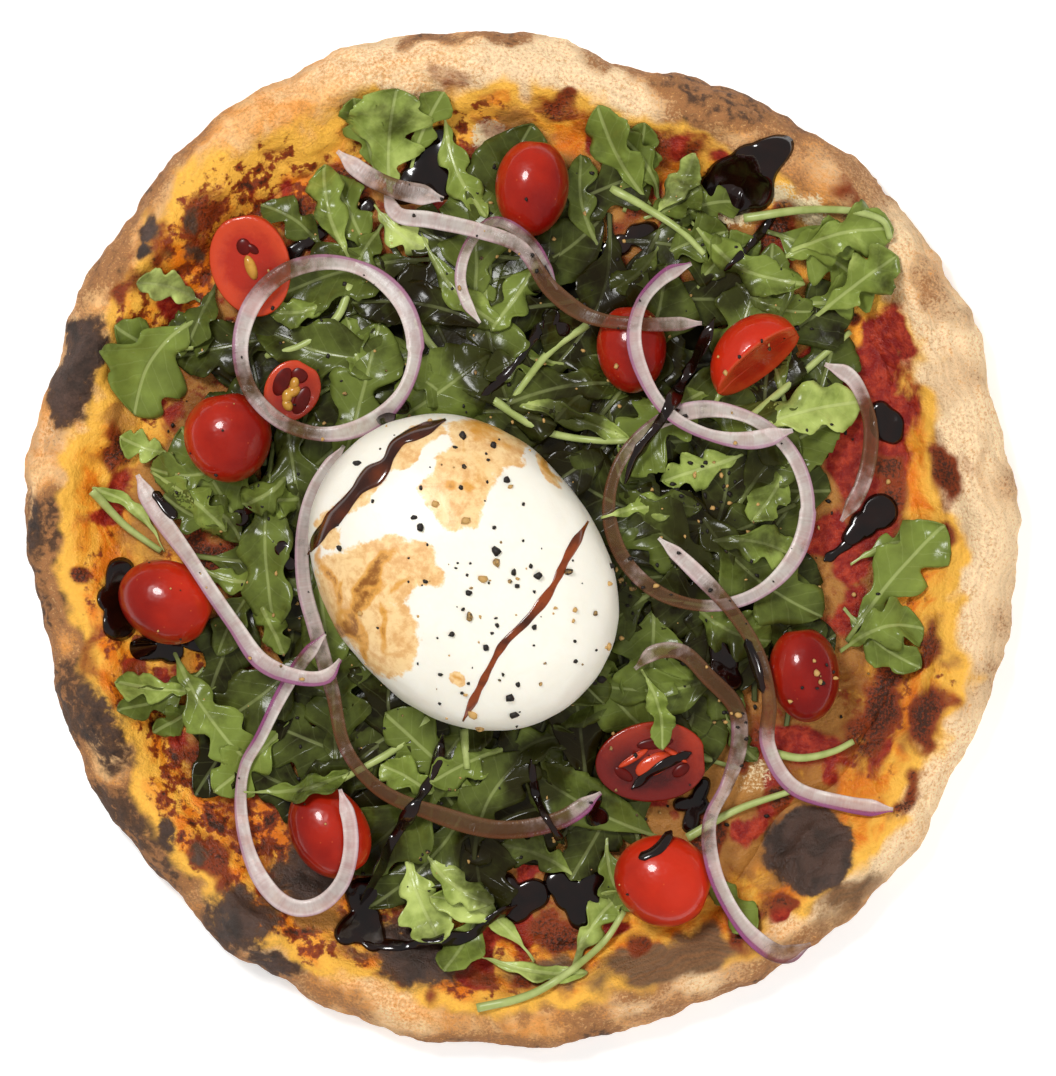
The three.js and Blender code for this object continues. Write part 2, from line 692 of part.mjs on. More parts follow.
addPiece("crust", crust, 0xd9b27c, 0.85);
addPiece("tomato_cheese_layer", layer, 0xb5481c, 0.6);
addPiece("rocket_heap", heap, 0x5b7f2e, 0.6);
addPiece("burrata", burrata, 0xfbf6ea, 0.35);
tomatoes.forEach((body, k) => {
  addPiece(`tomato_${String(k + 1).padStart(2, "0")}`, body, 0xc02418, 0.3);
});
onions.forEach((body, k) => {
  addPiece(`onion_${String(k + 1).padStart(2, "0")}`, body, 0xd9c6cf, 0.4);
});

export default pizza;
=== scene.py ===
"""A whole baked pizza with rocket, cherry tomatoes, red onion and a ball of burrata, seen from above."""

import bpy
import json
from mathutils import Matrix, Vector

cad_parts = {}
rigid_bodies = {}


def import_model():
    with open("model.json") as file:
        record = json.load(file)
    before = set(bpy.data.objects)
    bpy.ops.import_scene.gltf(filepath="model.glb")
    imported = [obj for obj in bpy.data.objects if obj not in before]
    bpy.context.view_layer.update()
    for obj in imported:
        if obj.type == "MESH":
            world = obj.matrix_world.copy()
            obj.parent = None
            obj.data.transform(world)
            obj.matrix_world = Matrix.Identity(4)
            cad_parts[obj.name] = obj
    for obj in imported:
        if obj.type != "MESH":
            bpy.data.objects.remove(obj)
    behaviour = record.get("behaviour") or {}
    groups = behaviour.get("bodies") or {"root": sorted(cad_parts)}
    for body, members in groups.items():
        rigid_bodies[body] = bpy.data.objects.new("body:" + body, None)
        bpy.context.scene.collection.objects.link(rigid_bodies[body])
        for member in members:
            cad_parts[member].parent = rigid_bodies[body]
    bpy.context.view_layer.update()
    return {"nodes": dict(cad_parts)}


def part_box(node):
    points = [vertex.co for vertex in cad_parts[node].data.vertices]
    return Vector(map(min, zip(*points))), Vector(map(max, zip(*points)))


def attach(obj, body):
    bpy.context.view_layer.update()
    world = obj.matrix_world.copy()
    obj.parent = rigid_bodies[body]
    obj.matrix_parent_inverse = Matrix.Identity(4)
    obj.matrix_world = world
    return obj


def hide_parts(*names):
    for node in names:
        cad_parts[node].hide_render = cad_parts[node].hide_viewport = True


bl_info = {
    "name": "Burrata Pizza",
    "version": (1, 0, 0),
    "blender": (4, 5, 0),
    "location": "View3D > Sidebar > Pizza",
    "description": "Dresses the packed pizza with baked dough, salad, toppings and glaze",
    "category": "Object",
}

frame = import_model()

import json
import math
from functools import partial

import bmesh
import bpy
import numpy as np
from bpy.props import FloatProperty, FloatVectorProperty, IntProperty, PointerProperty
from mathutils import Vector
from mathutils.bvhtree import BVHTree

MM = 0.001
BODY = "root"
# Share of its width that a strip or strand keeps at its ends.
END_WIDTH = 0.25

# The pizza's own form, in millimetres, as its solids have it. Bearings are degrees from +X.
CRUST_RADIUS = 149.0
BASE_THICKNESS = 4.0
RIM_HEIGHT = 18.5
EDGE_HEIGHT = 8.0
EDGE_UNDERCUT = 12.0
CREST_INSET = 10.5
RIM_REACH = 33.0
LAYER_TOP = 6.2
RIM_SWELLS = (
    # bearing, spread, out, up
    (118, 22, 7.2, 1.5), (40, 12, 1.8, 1), (75, 11, -4, -0.8), (15, 9, -1.8, -1), (180, 5, 1.6, 0.6),
    (191, 6, -4, -1.5), (258, 17, 4, 1.2), (308, 10, 2, 1), (334, 10, -1.2, -0.6),
)
RIM_BLISTERS = (
    # bearing, inset, along, across, rise
    (159, 9, 12, 6, 2.4), (204, 12, 13, 8, 2.6), (236, 9, 10, 7, 3), (65, 7, 9, 6, 2.4),
    (98, 9, 9, 6, 1.8), (46, 8, 12, 6, 1.8), (312.6, 23.5, 12, 11.5, 5), (257, 25, 12, 6, 3.6),
    (238, 26, 7, 5, 3),
)
# Bearing, spread and depth of the bay that the filling leaves round the burnt bubble.
FILLING_BAYS = ((312.6, 5, -8),)
# Small waves round the rim: height, beats and shift.
EDGE_WAVES = ((0.5, 17, 1), (0.4, 29, 2))
CREST_WAVES = ((0.7, 13, 0), (0.6, 23, 1.3))
BLISTER_FADE = 6.0
HEAP_RADIUS = 107.0
HEAP_HEIGHT = 14.5
HEAP_FLOOR = LAYER_TOP + 0.3
# Bearing, spread and reach of the salad's bays and bulges.
HEAP_BAYS = (
    (312, 17, -34), (186, 9, -14), (0, 15, -12), (38, 14, 5), (95, 12, 3), (272, 12, 3),
)
BURRATA_MIDDLE = (-17.7, -10.2, 28.0)
BURRATA_UP = 27.0
BURRATA_DOWN = 15.0
BURRATA_FULLNESS = 2.35
BURRATA_RADIUS = 45.6
BURRATA_OVAL = 5.2
BURRATA_LONG_WAY = 130
ONION_HEIGHT = 3.0


def linear(hex_colour):
    """sRGB hex to linear RGBA."""
    parts = [int(hex_colour[k:k + 2], 16) / 255 for k in (1, 3, 5)]
    return tuple(c / 12.92 if c <= 0.04045 else ((c + 0.055) / 1.055) ** 2.4 for c in parts) + (1.0,)


def colour(name, text, hex_colour):
    return FloatVectorProperty(
        name=name, description=text, default=linear(hex_colour), subtype="COLOR", size=4, min=0, max=1
    )


class CrustSettings(bpy.types.PropertyGroup):
    """Baked dough and what is spread on it."""

    turns: IntProperty(name="Turns", description="Steps round the rim", default=720, min=48)
    crags: FloatProperty(
        name="Crags", description="Height of the rim's lumps, mm", default=1.3, min=0, max=3
    )
    crumb: colour("Crumb", "Pale baked dough", "#FFC886")
    golden: colour("Golden", "Lightly baked dough", "#F2A24E")
    toasted: colour("Toasted", "Brown baked dough", "#A67042")
    dark_toast: colour("Dark toast", "Dark brown baked dough", "#5A3E2A")
    flour: colour("Flour", "Dusting flour", "#FFDDAE")
    gold: colour("Gold", "Dough soaked with a little fat", "#FFBE48")
    amber: colour("Amber", "Cheese fat stained by tomato", "#FFA626")
    deep_amber: colour("Deep amber", "Browned cheese fat", "#EC7C10")
    sauce: colour("Sauce", "Tomato sauce", "#86130A")
    pulp: colour("Pulp", "Bits of tomato in the sauce", "#B63A1C")
    curd: colour("Curd", "White melted cheese", "#EFD8AC")
    cheese: colour("Cheese", "Browned melted cheese", "#B67C38")
    bubble: colour("Bubble", "Skin of a flat dough bubble", "#74563A")
    scorch: colour("Scorch", "Scorched cheese and sauce", "#8A360C")
    dark_scorch: colour("Dark scorch", "Burnt cheese and sauce", "#3E1E0C")
    char: colour("Char", "Burnt blister", "#382A22")
    filling: colour("Filling", "Sauce cooked into the cheese", "#86480F")
    # Grey ash of the char, and partly a painted sheen on the burnt blisters.
    ash_and_sheen: colour("Ash", "Grey skin of a burnt blister", "#563F34")


class SaladSettings(bpy.types.PropertyGroup):
    """Rocket leaves."""

    filler: IntProperty(name="Leaves", description="Leaves under the placed ones", default=125, min=0)
    upper: IntProperty(name="Upper leaves", description="Leaves on top of those", default=58, min=0)
    seed: IntProperty(name="Seed", description="Start of the leaves' spread", default=11)
    # The dark leaf and shade colours also serve as painted shade low in the heap, and the bright and lime
    # colours as painted light on the leaves on top.
    dark: colour("Dark leaf", "Upper side of an older leaf", "#1F1C07")
    bright: colour("Bright leaf", "Upper side of a young leaf", "#90A248")
    lime: colour("Lime leaf", "Lit edge of the youngest leaves", "#C6D47A")
    rib: colour("Rib", "Midrib, veins and stalks", "#C4CE86")
    shade: colour("Shade", "Crushed leaves low in the heap", "#0A0803")


class ToppingSettings(bpy.types.PropertyGroup):
    """Tomatoes, onion, cheese and glaze."""

    skin: colour("Tomato skin", "Ripe skin", "#780A05")
    skin_light: colour("Tomato blush", "Paler red of the skin", "#C82C10")
    flesh: colour("Tomato flesh", "Cut wall of the fruit", "#C8401C")
    gel: colour("Tomato gel", "Wet seed chambers", "#6A1008")
    seed: colour("Tomato seed", "Pale seeds", "#D9A845")
    onion: colour("Onion", "Flesh of the strips", "#F4EAE2")
    onion_skin: colour("Onion skin", "Purple outer face", "#98447E")
    onion_stain: colour("Onion stain", "Where glaze soaked in", "#663C12")
    burrata: colour("Burrata", "Fresh cheese", "#FAF6EA")
    burrata_stain: colour("Burrata stain", "Where thin glaze soaked in", "#DC9A36")
    glaze: colour("Glaze", "Thick balsamic glaze", "#060303")
    glaze_thin: colour("Thin glaze", "Edge of the glaze", "#8A3C12")
    pepper: colour("Pepper", "Black of the ground corns", "#1E1712")
    pepper_pale: colour("Pepper pale", "Inside of the ground corns", "#C49A5A")


class StageSettings(bpy.types.PropertyGroup):
    """Camera, floor and light."""

    height: FloatProperty(
        name="Camera height", description="Above the table", default=1.6, min=0.3, unit="LENGTH"
    )
    view: FloatProperty(
        name="View", description="Long side of the picture", default=0.3228, min=0.05, unit="LENGTH"
    )
    floor: colour("Floor", "Pale table", "#FCFCFB")
    key: FloatProperty(name="Key light", description="Watts of the large soft light", default=10.4, min=0)
    fill: FloatProperty(name="Fill light", description="Watts of the second light", default=10.2, min=0)
    sky: FloatProperty(name="Room light", description="Strength of the room's light", default=0.3, min=0)


# Shape helpers, for arrays of places in millimetres.
def ease(low, high, x):
    t = np.clip((x - low) / (high - low), 0, 1)
    return t * t * (3 - 2 * t)


def turn_off(bearing, at):
    off = bearing - at
    return off - 360 * np.round(off / 360)


def humps(bearing, rows, column):
    """Sum of soft humps round the middle: bearing, spread, and the height in the given column."""
    return sum(row[column] * np.exp(-((turn_off(bearing, row[0]) / row[1]) ** 2) / 2) for row in rows)


def bearing_of(x, y):
    return np.degrees(np.arctan2(y, x))


def polar(p):
    return np.hypot(p[:, 0], p[:, 1]), bearing_of(p[:, 0], p[:, 1])


def lattice(cell, seed):
    """A repeatable number from -1 to 1 for each whole-numbered place; the large numbers only mix bits."""
    h = cell[:, 0] * 374761393 + cell[:, 1] * 668265263 + cell[:, 2] * 1274126177 + seed * 982451653
    h &= 0xFFFFFFFF
    h = ((h ^ (h >> 13)) * 1103515245) & 0xFFFFFFFF
    h = ((h ^ (h >> 16)) * 1597334677) & 0xFFFFFFFF
    return ((h ^ (h >> 15)) & 0xFFFFFF) / 0x7FFFFF - 1


def lumps(points, size, seed, octaves=1):
    """Smooth random lumps of about the given size, from -1 to 1."""
    total = np.zeros(len(points))
    for k in range(octaves):
        p = points / size * 2 ** k
        cell = np.floor(p).astype(np.int64)
        f = p - cell
        f = f * f * (3 - 2 * f)
        for corner in range(8):
            step = np.array([corner & 1, corner >> 1 & 1, corner >> 2 & 1])
            weight = np.prod(np.where(step, f, 1 - f), axis=1)
            total += weight * lattice(cell + step, seed + k * 17) / 2 ** k
    return total


def lumpy(points, rows):
    """Lumps of several sizes: size, seed, octaves and height of each."""
    return sum(height * lumps(points, size, seed, octaves) for size, seed, octaves, height in rows)


def flat(x, y):
    return np.stack([x, y, np.zeros_like(x)], axis=1)


def waves(bearing, rows):
    a = np.radians(bearing)
    return sum(height * np.sin(beats * a + shift) for height, beats, shift in rows)


def outer_radius(bearing):
    return CRUST_RADIUS + waves(bearing, EDGE_WAVES) + humps(bearing, RIM_SWELLS, 2)


def rim_rise(bearing, inset):
    """How far blisters, swells and waves lift the rim."""
    radius = outer_radius(bearing) - inset
    total = np.zeros_like(bearing)
    for at, deep, along, across, rise in RIM_BLISTERS:
        run = np.radians(turn_off(bearing, at)) * radius / along
        total += rise * np.exp(-(run ** 2 + ((inset - deep) / across) ** 2) ** 2)
    crown = 1 - ease(0, CREST_INSET, np.abs(inset - CREST_INSET))
    fade = 1 - ease(RIM_REACH - BLISTER_FADE, RIM_REACH, inset)
    return total * fade + crown * (humps(bearing, RIM_SWELLS, 3) + waves(bearing, CREST_WAVES))


def rim_height(inset):
    """Height of the smooth rim at a distance inside its edge."""
    over = np.clip(1 - inset / CREST_INSET, 0, 1)
    outside = EDGE_HEIGHT + (RIM_HEIGHT - EDGE_HEIGHT) * np.sqrt(1 - over * over)
    t = np.clip((inset - CREST_INSET) / (RIM_REACH - CREST_INSET), 0, 1)
    inside = BASE_THICKNESS + (RIM_HEIGHT - BASE_THICKNESS) * (1 + np.cos(np.pi * t)) / 2
    return np.where(inset < CREST_INSET, outside, inside)


def crust_top(x, y):
    bearing = bearing_of(x, y)
    inset = outer_radius(bearing) - np.hypot(x, y)
    return np.where(inset < 0, 0, rim_height(inset) + rim_rise(bearing, inset))


def heap_radius(bearing):
    return HEAP_RADIUS + humps(bearing, HEAP_BAYS, 2)


def burrata_radius(bearing):
    return BURRATA_RADIUS + BURRATA_OVAL * np.cos(2 * np.radians(bearing - BURRATA_LONG_WAY))


def heading(degrees):
    return math.cos(math.radians(degrees)), math.sin(math.radians(degrees))


def patches(x, y, rows, ragged=2.5, seed=5):
    """Strength of the strongest of some soft ovals: x, y, half long, half short, turn, strength."""
    p = flat(x, y)
    x = x + ragged * lumps(p, 7, seed, 2)
    y = y + ragged * lumps(p, 7, seed + 1, 2)
    best = np.zeros_like(x)
    for px, py, long, short, turn, strength in rows:
        c, s = heading(turn)
        along = ((x - px) * c + (y - py) * s) / long
        across = ((y - py) * c - (x - px) * s) / short
        best = np.maximum(best, strength * np.exp(-0.7 * (along ** 2 + across ** 2) ** 1.5))
    return best


# Mesh helpers. A disc that is fitted to an outline afterwards is first turned with this radius, in mm.
DISC = 100


def points_of(mesh):
    co = np.empty(len(mesh.vertices) * 3)
    mesh.vertices.foreach_get("co", co)
    return co.reshape(-1, 3) / MM


def set_points(mesh, points):
    mesh.vertices.foreach_set("co", (points * MM).ravel())
    mesh.update()


def normals_of(mesh):
    n = np.empty(len(mesh.vertices) * 3)
    mesh.vertex_normals.foreach_get("vector", n)
    return n.reshape(-1, 3)


def paint(mesh, name, values):
    layer = mesh.attributes.new(name, "FLOAT", "POINT")
    layer.data.foreach_set("value", np.ascontiguousarray(values, dtype=np.float32))


def to_mesh(bm, name):
    bm.normal_update()
    mesh = bpy.data.meshes.new(name)
    bm.to_mesh(mesh)
    bm.free()
    mesh.shade_smooth()
    return mesh


def add_piece(mesh, name, materials, replaces=()):
    piece = bpy.data.objects.new(name, mesh)
    bpy.context.scene.collection.objects.link(piece)
    for material in materials:
        mesh.materials.append(material)
    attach(piece, BODY)
    if replaces:
        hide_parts(*replaces)
    return piece


def spun(profile, turns):
    """A closed or open turned body from [radius, height] points."""
    bm = bmesh.new()
    chain = [bm.verts.new((radius * MM, 0, height * MM)) for radius, height in profile]
    links = [bm.edges.new(pair) for pair in zip(chain, chain[1:])]
    bmesh.ops.spin(
        bm, geom=chain + links, cent=(0, 0, 0), axis=(0, 0, 1), angle=math.tau, steps=turns, use_merge=True
    )
    bmesh.ops.remove_doubles(bm, verts=bm.verts, dist=1e-6)
    bmesh.ops.recalc_face_normals(bm, faces=bm.faces)
    return bm


def route(through, closed, step):
    """Evenly spaced places and side directions on a smooth path through some places."""
    p = np.array(through, float)
    if closed:
        p = np.vstack([p[-1], p, p[0], p[1]])
    else:
        p = np.vstack([2 * p[0] - p[1], p, 2 * p[-1] - p[-2]])
    fine = []
    for a, b, c, d in zip(p, p[1:], p[2:], p[3:]):
        ab, bc, cd = (max(1e-4, np.linalg.norm(v) ** 0.5) for v in (b - a, c - b, d - c))
        t1 = bc * ((b - a) / ab - (c - a) / (ab + bc) + (c - b) / bc)
        t2 = bc * ((c - b) / bc - (d - b) / (bc + cd) + (d - c) / cd)
        t = np.linspace(0, 1, 40, endpoint=False)[:, None]
        square, cube = 3 * c - 3 * b - 2 * t1 - t2, 2 * b - 2 * c + t1 + t2
        fine.append(b + t1 * t + square * t ** 2 + cube * t ** 3)
    fine = np.vstack(fine + [p[-2:-1]])
    run = np.concatenate([[0], np.cumsum(np.linalg.norm(np.diff(fine, axis=0), axis=1))])
    count = max(4, round(run[-1] / step)) + 1
    even = np.linspace(0, run[-1], count)
    places = np.stack([np.interp(even, run, fine[:, k]) for k in range(p.shape[1])], axis=1)
    if closed:
        ahead = np.roll(places[:-1], -1, 0) - np.roll(places[:-1], 1, 0)
        ahead = np.vstack([ahead, ahead[:1]])
    else:
        ahead = np.gradient(places, axis=0)
    ahead /= np.linalg.norm(ahead[:, :2], axis=1)[:, None]
    return places, np.stack([ahead[:, 1], -ahead[:, 0]], axis=1), even


def band(places, sides, heights, wide, high, closed, square, corners):
    """A long bar bent along a path; wide and high hold its section at each place."""
    steps = len(places) - 1
    bm = bmesh.new()
    bmesh.ops.create_cone(
        bm, cap_ends=not closed, segments=corners, radius1=1, radius2=1, depth=1
    )
    upright = [e for e in bm.edges if abs(e.verts[0].co.z - e.verts[1].co.z) > 0.5]
    bmesh.ops.subdivide_edges(bm, edges=upright, cuts=steps - 1)
    mesh_facts = []
    for v in bm.verts:
        k = min(steps, max(0, round((v.co.z + 0.5) * steps)))
        a, b = v.co.x, v.co.y
        a = math.copysign(abs(a) ** square, a)
        b = math.copysign(abs(b) ** square, b)
        x = places[k][0] + sides[k][0] * a * wide[k] / 2
        y = places[k][1] + sides[k][1] * a * wide[k] / 2
        v.co = Vector((x, y, heights[k] + b * high[k] / 2)) * MM
        mesh_facts.append((k, a, b))
    mesh_facts = np.array(mesh_facts)
    if closed:
        keep = bm.verts.layers.int.new("place")
        for number, v in enumerate(bm.verts):
            v[keep] = number
        bmesh.ops.remove_doubles(bm, verts=bm.verts, dist=2e-6)
        mesh_facts = mesh_facts[[v[keep] for v in bm.verts]]
        bm.verts.layers.int.remove(keep)
    bmesh.ops.recalc_face_normals(bm, faces=bm.faces)
    return bm, mesh_facts


# Maps of the heights of things, one number for each millimetre square, and where rays start, in metres.
MAP_HALF = 160
NO_TOP = -1.0
NO_BOTTOM = 999.0
RAY_TOP = 0.2
RAY_BOTTOM = -0.1
UP = Vector((0, 0, 1))


class HeightMap:
    """Heights over the pizza on a millimetre grid."""

    def __init__(self, values):
        self.values = values

    def at(self, x, y):
        u = np.clip(x + MAP_HALF, 0, 2 * MAP_HALF - 1.001)
        v = np.clip(y + MAP_HALF, 0, 2 * MAP_HALF - 1.001)
        i, j = u.astype(int), v.astype(int)
        fu, fv = u - i, v - j
        m = self.values
        low = m[j, i] * (1 - fu) + m[j, i + 1] * fu
        high = m[j + 1, i] * (1 - fu) + m[j + 1, i + 1] * fu
        return low * (1 - fv) + high * fv

    def raise_to(self, x, y, z):
        i = np.clip(np.round(x + MAP_HALF).astype(int), 0, 2 * MAP_HALF)
        j = np.clip(np.round(y + MAP_HALF).astype(int), 0, 2 * MAP_HALF)
        np.maximum.at(self.values, (j, i), z)


def grid_places():
    side = np.arange(-MAP_HALF, MAP_HALF + 1, dtype=float)
    return np.meshgrid(side, side)


def spread_limit(values, slope, reach):
    """Lets a low ceiling fall off sideways, so leaves dip gently under what lies on them."""
    out = values.copy()
    for _ in range(reach):
        for axis in (0, 1):
            for way in (1, -1):
                out = np.minimum(out, np.roll(out, way, axis) + slope)
    return out


def tree_of(mesh):
    return BVHTree.FromPolygons([v.co for v in mesh.vertices], [f.vertices[:] for f in mesh.polygons])


def height_under(tree, x, y):
    """Height of the highest surface at a place, or None where there is none."""
    hit = tree.ray_cast(Vector((x * MM, y * MM, RAY_TOP)), -UP)[0]
    return None if hit is None else hit.z / MM


def seen_from_above(meshes):
    """Height of the highest of some surfaces over the pizza."""
    x, y = grid_places()
    top = np.zeros(x.shape)
    for mesh in meshes:
        tree = tree_of(mesh)
        p = points_of(mesh)
        (left, front, _), (right, back, _) = p.min(axis=0), p.max(axis=0)
        for cell in zip(*np.nonzero((x >= left) & (x <= right) & (y >= front) & (y <= back))):
            height = height_under(tree, x[cell], y[cell])
            if height is not None:
                top[cell] = max(top[cell], height)
    return HeightMap(top)


def node_heights(names):
    """Highest and lowest surface of some CAD nodes over the pizza."""
    top = np.full((2 * MAP_HALF + 1,) * 2, NO_TOP)
    low = np.full((2 * MAP_HALF + 1,) * 2, NO_BOTTOM)
    for name in names:
        tree = tree_of(frame["nodes"][name].data)
        corner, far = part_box(name)
        for i in range(math.floor(corner.x / MM), math.ceil(far.x / MM) + 1):
            for j in range(math.floor(corner.y / MM), math.ceil(far.y / MM) + 1):
                height = height_under(tree, i, j)
                if height is None:
                    continue
                under = tree.ray_cast(Vector((i * MM, j * MM, RAY_BOTTOM)), UP)[0]
                cell = (j + MAP_HALF, i + MAP_HALF)
                top[cell] = max(top[cell], height)
                low[cell] = min(low[cell], under.z / MM)
    return top, low


# Node helpers: the inputs of a mix of two colours, and settings that many nodes share.
SHARE, UNDER, OVER = 0, 6, 7
RGB = {"data_type": "RGBA"}
SMOOTH = {"interpolation_type": "SMOOTHSTEP"}


def add_node(tree, kind, inputs=(), output=None, **settings):
    """Adds a node and gives its first or named output.

    Inputs are a list in the node's own order, or a dict by name or number. Each is a value or another
    node's output. A map range takes its value, where that starts and ends, and what these become.
    """
    node = tree.nodes.new("ShaderNode" + kind)
    for key, value in settings.items():
        setattr(node, key, value)
    pairs = inputs.items() if isinstance(inputs, dict) else enumerate(inputs)
    for key, value in pairs:
        if isinstance(value, bpy.types.NodeSocket):
            tree.links.new(value, node.inputs[key])
        else:
            node.inputs[key].default_value = value
    if output:
        return node.outputs[output]
    return next((socket for socket in node.outputs if socket.enabled), None)


def new_material(name, *painted):
    """An empty material, what adds its nodes, the place on its piece and the painted values it reads."""
    material = bpy.data.materials.new(name)
    material.use_nodes = True
    material.node_tree.nodes.clear()
    add = partial(add_node, material.node_tree)
    place = add("TexCoord", output="Object")
    levels = (add("Attribute", output="Fac", attribute_name=key) for key in painted)
    return material, add, place, *levels


def finish_material(material, inputs):
    """Closes a material with a shader that has the given inputs."""
    shader = add_node(material.node_tree, "BsdfPrincipled", inputs)
    add_node(material.node_tree, "OutputMaterial", {"Surface": shader})
    return material


def baked_dough(settings):
    """Wheat dough from a wood-fired oven: matte and grainy outside, oily, browned and scorched inside."""
    material, add, place, inset, oil = new_material("wood_oven_dough", "inset", "amber")
    # Flour and crumb grains about 0.9 mm, crackle about 3 mm, browning blotches about 11 mm.
    grain, crackle, blotch = (
        add("TexNoise", {
            "Vector": place, "Scale": 1 / size, "Detail": 5.0, "Roughness": rough, "Distortion": bend})
        for size, rough, bend in ((0.0009, 0.7, 0.0), (0.003, 0.62, 0.3), (0.011, 0.6, 0.8))
    )
    both = add("Math", [crackle, 1.8, grain], operation="MULTIPLY_ADD")
    # A dry mark has a crumbly edge, a burnt one a cracked edge and a wet one a flowing edge.
    crumbs = add("Math", [crackle, 0.8, -1.1], operation="MULTIPLY_ADD")
    crumbly = add("Math", [grain, 3.4, crumbs], operation="MULTIPLY_ADD")
    cracked = add("Math", [crackle, 3.0, -0.5], operation="MULTIPLY_ADD")
    flowing = add("Math", [blotch, 1.6, 0.2], operation="MULTIPLY_ADD")
    # Browned flecks in the fat, about 4 mm across.
    fleck = add("TexNoise", {"Vector": place, "Scale": 1 / 0.004, "Detail": 4.0, "Roughness": 0.6})
    flecked = add("Math", [fleck, 4.0, -1.0], operation="MULTIPLY_ADD")
    bloom = add("MapRange", [blotch, 0.36, 0.64], **SMOOTH)
    ashen = add("MapRange", [crackle, 0.38, 0.7], **SMOOTH)
    layer = add("Mix", {SHARE: bloom, UNDER: settings.filling, OVER: settings.cheese}, **RGB)
    fat = add("Mix", {SHARE: bloom, UNDER: settings.amber, OVER: settings.deep_amber}, **RGB)
    # Burnt blisters mix black char with grey ash and partly a painted sheen.
    burnt = add("Mix", {SHARE: bloom, UNDER: settings.char, OVER: settings.ash_and_sheen}, **RGB)
    stewed = add("Mix", {SHARE: ashen, UNDER: settings.sauce, OVER: settings.pulp}, **RGB)
    # The skin of a bubble is stretched in streaks along the rim, about 1.6 mm apart.
    streak = add("TexNoise", {"W": inset, "Scale": 1 / 1.6, "Detail": 3.0}, noise_dimensions="1D")
    streak = add("MapRange", [streak, 0.3, 0.8, 0, 0.6], **SMOOTH)
    skin = add("Mix", {SHARE: streak, UNDER: settings.bubble, OVER: settings.toasted}, **RGB)
    surface = add("Mix", {SHARE: bloom, UNDER: settings.crumb, OVER: settings.golden}, **RGB)
    # Each mark on the dough: its attribute, where it starts and is full, its colour and its edge.
    for name, low, high, shade, edge in (
        ("flour", 0.15, 1.0, settings.flour, crumbly), ("brown", 0.18, 0.68, settings.toasted, crumbly),
        ("brown", 0.7, 1.3, settings.dark_toast, cracked), ("amber", 0.1, 0.5, settings.gold, flowing),
        ("amber", 0.65, 1.2, fat, flowing), ("filling", 0.3, 0.95, layer, flowing),
        ("fried", 0.5, 0.75, settings.scorch, flecked), ("fried", 0.8, 1.05, settings.dark_scorch, flecked),
        ("cheese", 0.3, 0.8, settings.cheese, flowing), ("sauce", 0.3, 0.65, stewed, flowing),
        ("curd", 0.35, 0.7, settings.curd, crumbly), ("bubble", 0.25, 0.8, skin, flowing),
        ("scorch", 0.2, 0.75, settings.scorch, flowing),
        ("scorch", 0.6, 1.15, settings.dark_scorch, crumbly),
        ("char", 0.05, 0.4, settings.dark_toast, cracked), ("char", 0.3, 0.65, burnt, cracked),
    ):
        level = add("Attribute", output="Fac", attribute_name=name)
        broken = add("Math", [level, edge], operation="MULTIPLY")
        share = add("MapRange", [broken, low, high], **SMOOTH)
        surface = add("Mix", {SHARE: share, UNDER: surface, OVER: shade}, **RGB)
    dry = add("MapRange", [oil, 0.2, 0.7, 0.75, 0.15])
    pits = add("MapRange", [grain, 0.36, 0.62, 0.82, 1.28], **SMOOTH)
    lines = add("MapRange", [streak, 0, 0.6, 1.1, 0.84])
    pits = add("Math", [pits, lines], operation="MULTIPLY")
    surface = add("Mix", {SHARE: dry, UNDER: surface, OVER: pits}, **RGB, blend_type="MULTIPLY")
    rough = add("MapRange", [oil, 0, 1, 0.85, 0.34])
    relief = add("Math", [blotch, 1.3, both], operation="MULTIPLY_ADD")
    craggy = add("MapRange", [oil, 0.2, 0.6, 0.75, 0.6])
    bump = add("Bump", {"Strength": craggy, "Distance": 0.0012, "Height": relief})
    return finish_material(material, {"Base Color": surface, "Roughness": rough, "Normal": bump})


